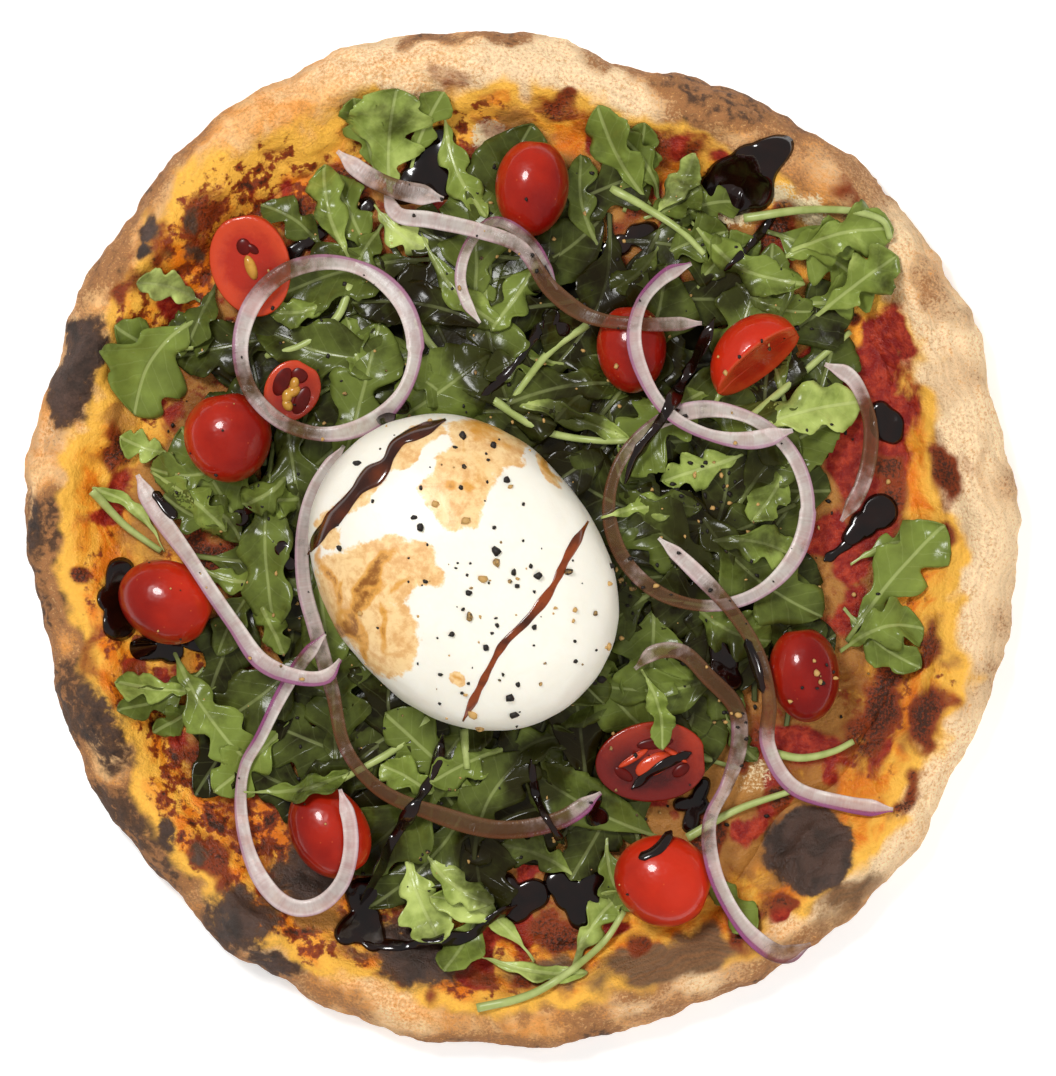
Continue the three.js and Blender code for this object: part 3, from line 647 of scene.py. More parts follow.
def rocket_leaf(settings):
    """Fresh rocket: moist satin leaf, pale midrib, faint veins, a green differing by leaf and with painted
    shade and light.
    """
    material, add, place, tone, rib, along, soaked = new_material(
        "rocket_leaf", "tone", "from_rib", "along", "soaked"
    )
    mottle = add("TexNoise", {"Vector": place, "Scale": 1 / 0.009, "Detail": 4.0, "Roughness": 0.55})
    # Side veins leave the midrib forwards, about one every 5 mm.
    slant = add("Math", [rib, -0.85, along], operation="MULTIPLY_ADD")
    wander = add("Math", [mottle, 4.0, slant], operation="MULTIPLY_ADD")
    beat = add("Math", [wander, 2.5], operation="PINGPONG")
    vein = add("MapRange", [beat, 0.35, 0.05, 0, 0.1], **SMOOTH)
    spine = add("MapRange", [rib, 0.7, 0.25, 0, 0.5], **SMOOTH)
    ribs = add("Math", [vein, spine], operation="MAXIMUM")
    # A leaf's tone gives its own green, and also painted shade on low leaves and painted light on the
    # leaves on top; the lime of the highest tones is partly a painted lit edge.
    shift = add("Math", [mottle, 0.7, -0.35], operation="MULTIPLY_ADD")
    share = add("Math", [tone, shift], operation="ADD", use_clamp=True)
    young = add("MapRange", [share, 0.7, 1.1], **SMOOTH)
    green = add("Mix", {SHARE: share, UNDER: settings.dark, OVER: settings.bright}, **RGB)
    green = add("Mix", {SHARE: young, UNDER: green, OVER: settings.lime}, **RGB)
    lit = add("MapRange", [tone, 0, 1, 0.3, 1.0])
    clear = add("Math", [ribs, lit], operation="MULTIPLY")
    veined = add("Mix", {SHARE: clear, UNDER: green, OVER: settings.rib}, **RGB)
    # Dressing browns and darkens the leaves in patches about 22 mm across, more where soaked is painted:
    # near glaze, and as painted shade in deep gaps.
    splash = add("TexNoise", {"Vector": place, "Scale": 1 / 0.022, "Detail": 5.0, "Roughness": 0.6})
    splash = add("Math", [soaked, 0.22, splash], operation="MULTIPLY_ADD")
    dressed_and_shaded = add("MapRange", [splash, 0.47, 0.72, 0, 0.85], **SMOOTH)
    veined = add("Mix", {SHARE: dressed_and_shaded, UNDER: veined, OVER: linear("#1E1806")}, **RGB)
    puff = add("Math", [mottle, ribs], operation="SUBTRACT")
    bump = add("Bump", {"Strength": 0.4, "Distance": 0.0008, "Height": puff})
    return finish_material(material, {
        "Base Color": veined, "Normal": bump, "Roughness": 0.2, "Specular IOR Level": 0.22,
    })


def rocket_stalk(settings):
    """Stalk of a rocket leaf: pale, ridged lengthwise and slightly glossy."""
    material, add, place = new_material("rocket_stalk")
    mottle = add("TexNoise", {"Vector": place, "Scale": 1 / 0.004, "Detail": 4.0})
    green = add("Mix", {SHARE: mottle, UNDER: linear("#82943F"), OVER: settings.rib}, **RGB)
    return finish_material(material, {"Base Color": green, "Roughness": 0.35})


def shaded_leaf_bed(settings):
    """Bed of crushed leaves under the ones that show; its near-black green is painted shade."""
    material, add, place = new_material("rocket_bed_painted_shade")
    mottle = add("TexNoise", {"Vector": place, "Scale": 1 / 0.009, "Detail": 5.0})
    green = add("Mix", {SHARE: mottle, UNDER: settings.shade, OVER: settings.dark}, **RGB)
    return finish_material(material, {"Base Color": green, "Roughness": 0.7, "Specular IOR Level": 0.1})


def tomato_skin(settings):
    """Ripe cherry tomato skin: smooth, glossy and a little see-through, with tiny pale flecks."""
    material, add, place, ripe = new_material("cherry_tomato_skin", "ripe")
    blush = add("TexNoise", {"Vector": place, "Scale": 1 / 0.012, "Detail": 3.0})
    share = add("Math", [blush, 0.8, ripe], operation="MULTIPLY_ADD")
    share = add("MapRange", [share, 0.3, 1.5], **SMOOTH)
    flecks = add("TexVoronoi", {"Vector": place, "Scale": 1 / 0.0034})
    fleck = add("MapRange", [flecks, 0.1, 0.04, 0, 0.35], **SMOOTH)
    red = add("Mix", {SHARE: share, UNDER: settings.skin, OVER: settings.skin_light}, **RGB)
    skin = add("Mix", {SHARE: fleck, UNDER: red, OVER: linear("#E0703A")}, **RGB)
    dents = add("TexNoise", {"Vector": place, "Scale": 1 / 0.005, "Detail": 2.0})
    bump = add("Bump", {"Strength": 0.55, "Distance": 0.0008, "Height": dents})
    return finish_material(material, {
        "Base Color": skin, "Normal": bump, "Roughness": 0.3, "Specular IOR Level": 0.2,
        "Coat Weight": 0.5, "Coat Roughness": 0.07, "Subsurface Weight": 0.15,
        "Subsurface Radius": (1.0, 0.2, 0.1), "Subsurface Scale": 0.002,
    })


def tomato_flesh(settings):
    """Cut wall of a tomato: wet and fibrous, orange red at the skin and darker towards the heart."""
    material, add, place, ripe, heart = new_material("cut_tomato", "ripe", "heart")
    fibre = add("TexNoise", {"Vector": place, "Scale": 1 / 0.004, "Detail": 5.0, "Roughness": 0.6})
    share = add("Math", [fibre, 0.7, ripe], operation="MULTIPLY_ADD", use_clamp=True)
    wall = add("Mix", {SHARE: share, UNDER: settings.gel, OVER: settings.flesh}, **RGB)
    core = add("Math", [heart, fibre], operation="MULTIPLY")
    core = add("MapRange", [core, 0.05, 0.25, 0, 0.85], **SMOOTH)
    inner = add("Mix", {SHARE: share, UNDER: linear("#340705"), OVER: linear("#A8200E")}, **RGB)
    wall = add("Mix", {SHARE: core, UNDER: wall, OVER: inner}, **RGB)
    bump = add("Bump", {"Strength": 0.5, "Distance": 0.0008, "Height": fibre})
    return finish_material(material, {
        "Base Color": wall, "Normal": bump, "Roughness": 0.2, "Coat Weight": 0.4, "Coat Roughness": 0.08,
    })


def tomato_gel(settings):
    """Wet seed chamber of a tomato: dark red and glossy."""
    material, add, place = new_material("tomato_gel")
    cloud = add("TexNoise", {"Vector": place, "Scale": 1 / 0.003})
    wet = add("Mix", {SHARE: cloud, UNDER: linear("#3A0906"), OVER: settings.gel}, **RGB)
    return finish_material(material, {"Base Color": wet, "Roughness": 0.28, "Specular IOR Level": 0.3})


def tomato_seed(settings):
    """Tomato seed in wet gel."""
    material, add, place = new_material("tomato_seed")
    mottle = add("TexNoise", {"Vector": place, "Scale": 1 / 0.002})
    pale = add("Mix", {SHARE: mottle, UNDER: linear("#A8641E"), OVER: settings.seed}, **RGB)
    return finish_material(material, {"Base Color": pale, "Roughness": 0.2})


def red_onion(settings):
    """Raw red onion: watery, half clear flesh, a purple outer edge, and stains of glaze."""
    material, add, place, across, along, stain, blush = new_material(
        "red_onion", "across", "along", "stain", "blush"
    )
    mottle = add("TexNoise", {"Vector": place, "Scale": 1 / 0.004, "Detail": 4.0, "Roughness": 0.55})
    # Faint cell lines across the strip, about 0.6 mm apart.
    lines = add("TexNoise", {"W": along, "Scale": 1.6, "Detail": 2.0}, noise_dimensions="1D")
    cells = add("Math", [lines, 0.2, mottle], operation="MULTIPLY_ADD")
    cells = add("MapRange", [cells, 0.4, 0.8], **SMOOTH)
    pale = add("Mix", {SHARE: cells, UNDER: linear("#DCC2BC"), OVER: settings.onion}, **RGB)
    # Purple is in the outer layer of cells, and washes a little way into the flesh.
    wander = add("Math", [mottle, 0.3, across], operation="MULTIPLY_ADD")
    wander = add("Math", [blush, 0.45, wander], operation="MULTIPLY_ADD")
    for low, high, most in ((0.3, 1.3, 0.45), (0.95, 1.15, 0.9)):
        skin = add("MapRange", [wander, low, high, 0, most], **SMOOTH)
        skin = add("Math", [skin, blush], operation="MULTIPLY")
        pale = add("Mix", {SHARE: skin, UNDER: pale, OVER: settings.onion_skin}, **RGB)
    soaked = add("Math", [mottle, 0.9, stain], operation="MULTIPLY_ADD")
    soaked = add("MapRange", [soaked, 0.75, 1.25, 0, 0.95], **SMOOTH)
    final = add("Mix", {SHARE: soaked, UNDER: pale, OVER: settings.onion_stain}, **RGB)
    # The middle of a strip is clearer than its rims.
    rims = add("Math", [across], operation="ABSOLUTE")
    body = add("MapRange", [rims, 0.35, 0.95, 0.44, 0.84], **SMOOTH)
    body = add("Math", [soaked, -0.12, body], operation="MULTIPLY_ADD")
    bump = add("Bump", {"Strength": 0.2, "Distance": 0.0004, "Height": cells})
    return finish_material(material, {
        "Base Color": final, "Alpha": body, "Normal": bump, "Roughness": 0.22, "IOR": 1.36,
    })


def fresh_cheese(settings):
    """Burrata: a moist stretched-curd skin, warm white, with brown stains of thin glaze."""
    material, add, place, stain, deep = new_material("burrata_skin", "stain", "deep")
    cloud = add("TexNoise", {
        "Vector": place, "Scale": 1 / 0.007, "Detail": 6.0, "Roughness": 0.62, "Distortion": 0.6})
    grit = add("TexNoise", {"Vector": place, "Scale": 1 / 0.0026, "Detail": 5.0, "Roughness": 0.7})
    edge = add("Math", [grit, cloud], operation="ADD")
    # The stain is a thin wash that browns in clouds and is darkest in its streaks.
    soaked = add("Math", [stain, edge], operation="MULTIPLY")
    wash = add("MapRange", [soaked, 0.36, 0.5, 0, 0.85], **SMOOTH)
    tint = add("MapRange", [edge, 0.85, 1.25], **SMOOTH)
    white = add("Mix", {SHARE: cloud, UNDER: settings.burrata, OVER: linear("#F4EDDB")}, **RGB)
    brew = add("Mix", {SHARE: tint, UNDER: linear("#F8CE86"), OVER: settings.burrata_stain}, **RGB)
    brown = add("Mix", {SHARE: wash, UNDER: white, OVER: brew}, **RGB)
    dark = add("Math", [deep, edge], operation="MULTIPLY")
    for low, high, shade in ((0.25, 0.65, settings.burrata_stain), (0.62, 1.0, linear("#7E420F"))):
        streak = add("MapRange", [dark, low, high, 0, 0.85], **SMOOTH)
        brown = add("Mix", {SHARE: streak, UNDER: brown, OVER: shade}, **RGB)
    bump = add("Bump", {"Strength": 0.2, "Distance": 0.001, "Height": cloud})
    return finish_material(material, {
        "Base Color": brown, "Normal": bump, "Roughness": 0.34, "Subsurface Weight": 0.25,
        "Subsurface Radius": (1.0, 0.85, 0.65), "Subsurface Scale": 0.003,
    })


def balsamic_glaze(settings):
    """Balsamic glaze: a thick black-brown syrup with a mirror gloss, red-brown where it thins."""
    material, add, place, thin = new_material("balsamic_glaze", "thin")
    mottle = add("TexNoise", {"Vector": place, "Scale": 1 / 0.004, "Detail": 3.0})
    share = add("Math", [thin, mottle], operation="MULTIPLY", use_clamp=True)
    dark = add("Mix", {SHARE: share, UNDER: settings.glaze, OVER: settings.glaze_thin}, **RGB)
    return finish_material(material, {
        "Base Color": dark, "Roughness": 0.14, "Coat Weight": 0.4, "Coat Roughness": 0.08,
    })


def ground_pepper(settings):
    """Coarsely ground pepper: black husk and pale inside, dry and rough."""
    material, add, place, tone = new_material("ground_pepper", "tone")
    mottle = add("TexNoise", {"Vector": place, "Scale": 1 / 0.0008})
    share = add("Math", [mottle, 0.4, tone], operation="MULTIPLY_ADD")
    share = add("MapRange", [share, 0.75, 1.0], **SMOOTH)
    husk = add("Mix", {SHARE: share, UNDER: settings.pepper, OVER: settings.pepper_pale}, **RGB)
    return finish_material(material, {"Base Color": husk, "Roughness": 0.6})


def pale_table(settings):
    """White acrylic of a photographer's table, lit a little from below."""
    material, add, place = new_material("white_acrylic")
    grain = add("TexNoise", {"Vector": place, "Scale": 1 / 0.01})
    white = add("Mix", {SHARE: grain, UNDER: settings.floor, OVER: linear("#F8F8F6")}, **RGB)
    return finish_material(material, {
        "Base Color": white, "Roughness": 0.7, "Emission Color": settings.floor, "Emission Strength": 0.3,
    })


# Where the oven and the fillings left their marks: x, y, half long, half short, turn, strength.
CHAR_MARKS = (
    (-133, 49, 14, 5.5, 70, 1), (-132, 61, 5, 4, 0, 0.9), (-112, 92, 3, 3, 0, 0.8),
    (-112, 85, 2.5, 2.5, 0, 0.8), (-98, 94, 2, 3, 0, 0.5), (-99, 86, 2.5, 2, 0, 0.5),
    (-147, 4, 9, 3, 90, 0.5), (-127, -57, 14, 6, 115, 0.5), (-118, -84, 10, 3, 125, 0.35),
    (-84, -114, 9, 7.5, 145, 0.75), (-73, -127, 7, 4, 150, 0.75), (-106, -88, 4, 2, 120, 0.8),
    (-64, -101, 8, 7.5, 0, 1), (-31, -124, 12, 7, 165, 1), (86, -93.5, 8, 7.9, 30, 8),
    (-97, -94, 3, 2, 30, 0.7),
)
SCORCH_MARKS = (
    (109, -47, 15, 2.6, 68, 1.1), (121, -56, 8, 4, 60, 1.1), (-74, 117, 5, 2, 20, 0.5),
    (131, 20, 5, 3, 90, 0.4), (-96, 96, 12, 4, 75, 0.75), (-110, 88, 8, 6, 70, 0.6),
    (-74, 112, 6, 2.5, 20, 0.4), (-124, 26, 9, 3.5, 85, 0.95), (-94, -64, 11, 8, 60, 0.6),
    (-88, -78, 8, 5, 0, 0.5), (114, -79, 7, 5, 60, 0.9), (122, -31, 10, 3, 75, 0.85),
    (124, 20, 10, 4, 95, 0.9), (121, -55, 10, 6, 60, 0.9), (107, -50, 19, 5, 68, 0.95),
    (11, -119, 12, 5, 5, 0.9), (-50, 121, 9, 3, 15, 0.35), (38, 117, 9, 5, 150, 0.75),
    (-115, -40, 6, 4, 100, 0.7), (-92, -95, 9, 5, 130, 0.8), (-120, 74, 8, 4, 60, 0.75),
    (-19, 138, 7, 4, 5, 0.55), (-9.5, 121.5, 4, 3.5, 0, 0.5), (70, -110, 7, 4, 40, 0.7),
    (98, 100, 8, 3, 130, 0.6), (22, 124, 6, 6, 0, 0.6), (10, 130, 9, 3, 170, 0.8),
    (-128, -36, 10, 3, 100, 0.6),
)
BROWN_MARKS = (
    (-28, 152, 9, 3, 10, 0.95), (-8, 151, 13, 3, 0, 0.95), (52, 134, 20, 7, 152, 0.95),
    (66, 130, 12, 7, 150, 1), (99, 112, 20, 8, 133, 0.6), (122, 74, 14, 6, 118, 0.55),
    (-3, -138, 20, 6, 0, 0.85), (-60, -137, 18, 6, 158, 0.6), (-137, 28, 16, 5, 80, 0.4),
    (-145, -14, 18, 5, 95, 0.8), (-127, -80, 17, 6, 125, 0.75), (30, 144, 14, 5, 165, 0.7),
    (-124, 82, 14, 5, 58, 0.75), (135, -44, 14, 4, 72, 0.45), (84, -122, 20, 5, 36, 0.6),
    (45, -141, 18, 5, 16, 0.6), (-136, 66, 12, 4, 65, 0.6), (138, 20, 16, 4, 95, 0.4),
    (-142, 4, 11, 6, 88, 1.2),
)
BUBBLE_MARKS = (
    (45, -126, 26, 6, 12, 0.95), (96, -107, 16, 7, 42, 0.7), (6, -129, 16, 5, 0, 0.8),
    (-128, 84, 8, 4, 55, 0.5), (-52, -124, 9, 4, 155, 0.6),
)
SAUCE_MARKS = (
    (105, 30, 30, 11, 86, 1.1), (102, -3, 10, 9, 0, 1), (74, -78, 11, 5, 60, 1), (66, -88, 6, 4, 40, 1),
    (56, -104, 5, 4, 0, 0.9), (83, -61, 15, 6, 170, 1), (108, 60, 10, 6, 100, 0.95),
    (-106, 38, 5, 8, 0, 0.6), (-94, -62, 10, 7, 40, 0.5), (78, -112, 6, 4, 30, 0.8),
    (98, -22, 10, 5, 60, 0.8), (-104, 72, 7, 4, 60, 0.8), (108, -62, 9, 4, 60, 0.7),
    (-108, -42, 10, 7, 60, 0.75),
)
CHEESE_MARKS = (
    (36, -92, 34, 20, 0, 1), (60, -72, 13, 12, 0, 0.95), (88, -78, 12, 8, 60, 0.8),
    (-113, 8, 6, 22, 0, 0.7), (82, 90, 12, 8, 140, 0.7), (-66, -112, 14, 6, 150, 0.9),
    (95, -60, 10, 6, 60, 0.6),
)
CURD_MARKS = (
    (-9, 121, 6, 5.5, 0, 1), (86, 97, 9, 5, 150, 0.95), (63, 97, 5, 4, 0, 0.95), (76, 103, 5, 4, 20, 0.9),
    (32, -85, 4, 2, 20, 1), (70, -70, 8, 6, 40, 0.5),
)
# Places in the fat without strewn bits, and places with paler fat, which is partly painted light on the
# rim's inner slope.
CLEAR_MARKS = (
    (-72, 117, 20, 9, 32, 1), (-106, -76, 20, 10, 125, 1), (-112, 10, 30, 7, 92, 0.8),
    (-30, 126, 16, 6, 10, 0.8), (-70, -118, 16, 8, 150, 0.8), (116, -20, 22, 6, 85, 0.7),
)
GOLD_AND_LIT_MARKS = ((-72, 117, 20, 9, 32, 1), (-30, 126, 16, 6, 10, 0.8), (-113, 6, 34, 7, 92, 0.8))
# Marks that follow the rim: bearing, spread, and strength or millimetres.
FRIED_BY_BEARING = (
    (212, 18, 0.42), (238, 10, 0.3), (148, 14, 0.38), (124, 10, 0.3), (265, 14, 0.3), (338, 16, 0.25),
    (98, 10, 0.3), (60, 10, 0.25), (184, 8, 0.1),
)
TOAST_BY_BEARING = (
    (30, 12, 0.2), (50, 9, 0.35), (66, 7, 0.5), (140, 8, 0.4), (180, 6, 0.7), (194, 8, 0.7),
    (212, 13, 0.95), (232, 9, 0.4), (272, 13, 0.7), (300, 14, 0.35), (340, 20, 0.22), (8, 16, 0.22),
    (100, 16, 0.12),
)
FLOUR_BY_BEARING = (
    (2, 20, 0.6), (104, 9, 0.3), (335, 18, 0.5), (250, 9, 0.4), (172, 6, 0.3), (82, 8, 0.7),
    (300, 12, 0.3), (34, 17, 0.55), (226, 6, 0.4),
)
FAT_START_BY_BEARING = (
    (3, 18, 4), (48, 20, 5), (110, 8, 5), (124, 9, -2), (142, 9, -6), (160, 8, 0), (184, 12, -4),
    (213, 8, 1), (232, 10, -8), (255, 10, -2), (270, 10, -3), (318, 12, -4), (338, 10, -4),
)
FAT_WIDTH_BY_BEARING = (
    (214, 20, 26), (184, 10, 6), (150, 14, 8), (120, 14, 8), (330, 20, 6), (270, 14, 6),
)
# How far inside the rim's edge the fat starts, and its width before the filling covers it.
FAT_START = 15
FAT_WIDTH = 13
# Size, seed and start of the bits of cheese, sauce and scorch that are strewn in the fat.
STREWN = ((12, 52, 0), (13, 62, 0.3), (11, 72, 0.22))


def bake(mesh, x, y, bearing, inset):
    """Paints a mesh's points with how much of each baked colour they have, with wandering borders."""
    p = flat(x, y)
    wide = lumps(p, 16, 31, 2)
    fine = lumps(p, 6, 40, 2)
    start = FAT_START + humps(bearing, FAT_START_BY_BEARING, 2)
    amber = ease(-7, 9, inset - start + 4 * wide + 3 * fine)
    late = humps(bearing, FAT_WIDTH_BY_BEARING, 2)
    filling = ease(-5, 7, inset - start - FAT_WIDTH - late + 5 * wide + 3 * fine)
    outside = 1 - ease(0, 7, inset - start - 2)
    toast = humps(bearing, TOAST_BY_BEARING, 2) * (0.75 + 0.7 * wide)
    floury = humps(bearing, FLOUR_BY_BEARING, 2)
    edge = 0.4 * (1 - ease(0, 5, inset)) * np.clip(1 - 1.3 * floury, 0, 1)
    brown = outside * np.maximum(toast + edge, 0.95 * patches(x, y, BROWN_MARKS, 4))
    flour = outside * np.clip(floury + 0.2 + 0.4 * lumps(p, 20, 44, 2), 0, 1)
    clear = 1 - patches(x, y, CLEAR_MARKS, 3, 66)
    cheese, sauce, scorch = (
        ease(low, 1.0, lumps(p, size, seed, 2)) * amber * clear for size, seed, low in STREWN
    )
    paint(mesh, "brown", brown)
    paint(mesh, "flour", flour)
    # Paler fat at the gold marks is partly painted light.
    paint(mesh, "amber", amber * (1 - 0.4 * patches(x, y, GOLD_AND_LIT_MARKS, 3, 66)))
    paint(mesh, "fried", (0.22 + humps(bearing, FRIED_BY_BEARING, 2)) * amber)
    paint(mesh, "filling", filling)
    paint(mesh, "inset", inset + 5 * lumps(p, 13, 97, 2))
    # Marks with how ragged they are, their seed and what is strewn besides.
    for name, rows, ragged, seed, strewn in (
        ("cheese", CHEESE_MARKS, 4, 51, 0.8 * cheese), ("sauce", SAUCE_MARKS, 3, 61, sauce),
        ("scorch", SCORCH_MARKS, 3.5, 71, scorch), ("curd", CURD_MARKS, 2, 91, 0),
        ("bubble", BUBBLE_MARKS, 3, 76, 0), ("char", CHAR_MARKS, 2, 81, 0),
    ):
        paint(mesh, name, np.maximum(patches(x, y, rows, ragged, seed), strewn))


# What lies on the pizza so far, kept for what comes on top.
laid = {}

# Lumps of the rim, and the width in which they fade out inwards.
RIM_LUMPS = ((13, 1, 2, 1.1), (5, 2, 2, 0.45), (1.6, 3, 2, 0.17))
LUMP_FADE = 4


class PIZZA_OT_crust(bpy.types.Operator):
    """Bakes the rim and base with their blisters and marks"""

    bl_idname = "pizza.crust"
    bl_label = "Crust"

    def execute(self, context):
        settings = context.scene.pizza_crust
        under = [
            (CRUST_RADIUS - EDGE_UNDERCUT * (1 - math.sin(a)), EDGE_HEIGHT * (1 - math.cos(a)))
            for a in np.linspace(0, math.pi / 2, 13)
        ]
        over = CREST_INSET * (1 - np.cos(np.linspace(0, math.pi / 2, 20)[1:]))
        slope = np.linspace(CREST_INSET, RIM_REACH + 3, 36)[1:]
        upper = [(CRUST_RADIUS - d, float(rim_height(np.array(d)))) for d in [*over, *slope]]
        bottom = [(0, 0), (50, 0), (100, 0), (125, 0)]
        profile = [*bottom, *under, *upper, (60, BASE_THICKNESS), (0, BASE_THICKNESS)]
        mesh = to_mesh(spun(profile, settings.turns), "crust")
        p = points_of(mesh)
        radius, bearing = polar(p)
        inset = CRUST_RADIUS - radius
        # The middle of the base stays round, and the outer part follows the outline.
        grow = (outer_radius(bearing) - CRUST_RADIUS) * ease(0.4, 0.8, radius / CRUST_RADIUS)
        scale = np.where(radius > 1, (radius + grow) / np.maximum(radius, 1), 1)
        upper_side = (p[:, 2] > EDGE_HEIGHT - 0.01) | ((inset > CREST_INSET) & (p[:, 2] > BASE_THICKNESS))
        p[:, 2] += np.where(upper_side, rim_rise(bearing, inset), 0)
        p[:, :2] *= scale[:, None]
        set_points(mesh, p)
        free = ease(0.2, 3, p[:, 2]) * (1 - ease(RIM_REACH - LUMP_FADE, RIM_REACH, inset))
        rough = lumpy(p, RIM_LUMPS) * free * settings.crags
        set_points(mesh, p + normals_of(mesh) * rough[:, None])
        bake(mesh, p[:, 0], p[:, 1], bearing, inset)
        add_piece(mesh, "crust_baked", [baked_dough(settings)], ["crust"])
        return {"FINISHED"}


# The filling: its lumps, how far it climbs the rim, its gap over the dough, and its edge and thickness.
FILLING_LUMPS = ((9, 21, 2, 0.7), (3, 22, 2, 0.3))
FILLING_CLIMB = 4
FILLING_GAP = 0.25
FILLING_SINK = 0.15
FILLING_THICKNESS = 0.3


class PIZZA_OT_filling(bpy.types.Operator):
    """Spreads the tomato sauce and melted cheese on the base"""

    bl_idname = "pizza.filling"
    bl_label = "Sauce and cheese"

    def execute(self, context):
        shares = [0, 0.2, 0.4, 0.5, *np.linspace(0.58, 1.0, 34)]
        profile = [*[(DISC * s, 0) for s in shares], *[(DISC * s, 1) for s in reversed(shares)]]
        mesh = to_mesh(spun(profile, 360), "filling")
        p = points_of(mesh)
        radius, bearing = polar(p)
        share = radius / DISC
        reach = outer_radius(bearing) - RIM_REACH + FILLING_CLIMB + humps(bearing, FILLING_BAYS, 2)
        p[:, :2] *= (reach / DISC)[:, None]
        top = p[:, 2] > 0.5
        x, y = p[:, 0], p[:, 1]
        relief = lumpy(flat(x, y), FILLING_LUMPS)
        bare = ease(0, 6, np.hypot(x, y) - heap_radius(bearing) + 14)
        height = np.maximum(LAYER_TOP - 0.5 + relief * bare, crust_top(x, y) + FILLING_GAP)
        # The outermost strip of the filling goes under the dough.
        sink = ease(0.97, 1.0, share)
        height = height * (1 - sink) + (crust_top(x, y) - FILLING_SINK) * sink
        p[:, 2] = np.where(top, height, np.minimum(crust_top(x, y), height) - FILLING_THICKNESS)
        set_points(mesh, p)
        bake(mesh, x, y, bearing, outer_radius(bearing) - np.hypot(x, y))
        material = bpy.data.materials["wood_oven_dough"]
        add_piece(mesh, "sauce_and_cheese", [material], ["tomato_cheese_layer"])
        laid["base"] = seen_from_above([bpy.data.objects["crust_baked"].data, mesh])
        return {"FINISHED"}


# Cherry tomatoes: turn of the long axis, ripeness from dark red to orange red, and for a half the
# lean and bearing of its cut face.
TOMATOES = {
    "tomato_01": (85, 0.35), "tomato_02": (102, 0.85, 14, 250), "tomato_03": (60, 0.3, 10, 300),
    "tomato_04": (100, 0.4), "tomato_05": (-25, 0.45), "tomato_06": (92, 0.3),
    "tomato_07": (38, 0.9, 66, 308), "tomato_08": (97, 0.1), "tomato_09": (4, -0.2, 9, 290),
    "tomato_10": (-20, 0.9), "tomato_11": (-60, 0.45),
}
TOMATO_FORMS = {
    # x, y, half long, half wide, half high
    "tomato_01": (2.4, 104.4, 14.5, 11, 10.5), "tomato_02": (-81.6, 81, 16, 12, 10),
    "tomato_03": (-69.3, 43.8, 9.6, 8.2, 8), "tomato_04": (-88.2, 30, 13.5, 13.1, 11.5),
    "tomato_05": (-106.8, -18.9, 14.6, 12.3, 11), "tomato_06": (32.1, 56.4, 13.2, 10.4, 10),
    "tomato_07": (70, 52.6, 15.4, 13.4, 11), "tomato_08": (83.7, -40.8, 14.2, 10.5, 10),
    "tomato_09": (38.1, -66.9, 16.8, 12.2, 10), "tomato_10": (41.4, -102, 14.8, 13.6, 11.5),
    "tomato_11": (-58.2, -87.3, 15, 11.5, 10.5),
}
# What shows in a cut face: place along and across it, half sizes, turn, and material number.
TOMATO_INSIDES = {
    "tomato_02": ((-0.4, 0, 3.9, 1.7, 6, 2), (6.2, 0.6, 2.6, 2.2, 0, 3), (5.0, -1.8, 2.2, 1.3, 40, 3)),
    "tomato_03": ((-4.2, -1.0, 2.0, 1.5, 60, 2), (-2.0, 0.4, 2.3, 1.6, 20, 2),
        (0.2, -0.4, 2.3, 1.7, -30, 2), (2.4, 0.5, 2.2, 1.4, 15, 2), (1.4, 4.2, 5.0, 2.6, 10, 3),
        (-1.4, -4.2, 5.0, 2.4, 10, 3), (5.4, 0.4, 2.6, 2.6, 0, 3)),
    "tomato_07": (),
    "tomato_09": ((0.8, -0.8, 6.2, 3.2, 22, 1), (-5.4, 1.6, 5.2, 1.1, 28, 1),
        (7.0, 1.8, 4.6, 1.0, -38, 1), (-8.6, -3.0, 3.4, 1.6, -40, 3), (1.4, 5.6, 5.6, 1.8, 4, 3),
        (8.6, -3.2, 3.0, 1.8, 30, 3)),
}


# Stalk dimple and taper of a fruit, how its ripeness changes, and the steps of a cut face inwards:
# share of the size and height.
DIMPLE_DEPTH = 0.06
DIMPLE_WIDTH = 0.04
FRUIT_TAPER = 0.05
RIPE_ACROSS = 0.3
RIPE_ALONG = 0.15
CUT_STEPS = ((0.97, 0.3), (0.9, 0.35), (0.8, 0.1), (0.66, -0.3), (0.4, -0.4), (0.15, -0.3))
# Half height of what shows in a cut face, by material number, how deep it sits and how ripe it is.
INSIDE_HEIGHTS = {1: 1.5, 2: 1.5, 3: 0.8}
INSIDE_SINK = 0.35
INSIDE_RIPENESS = 0.9


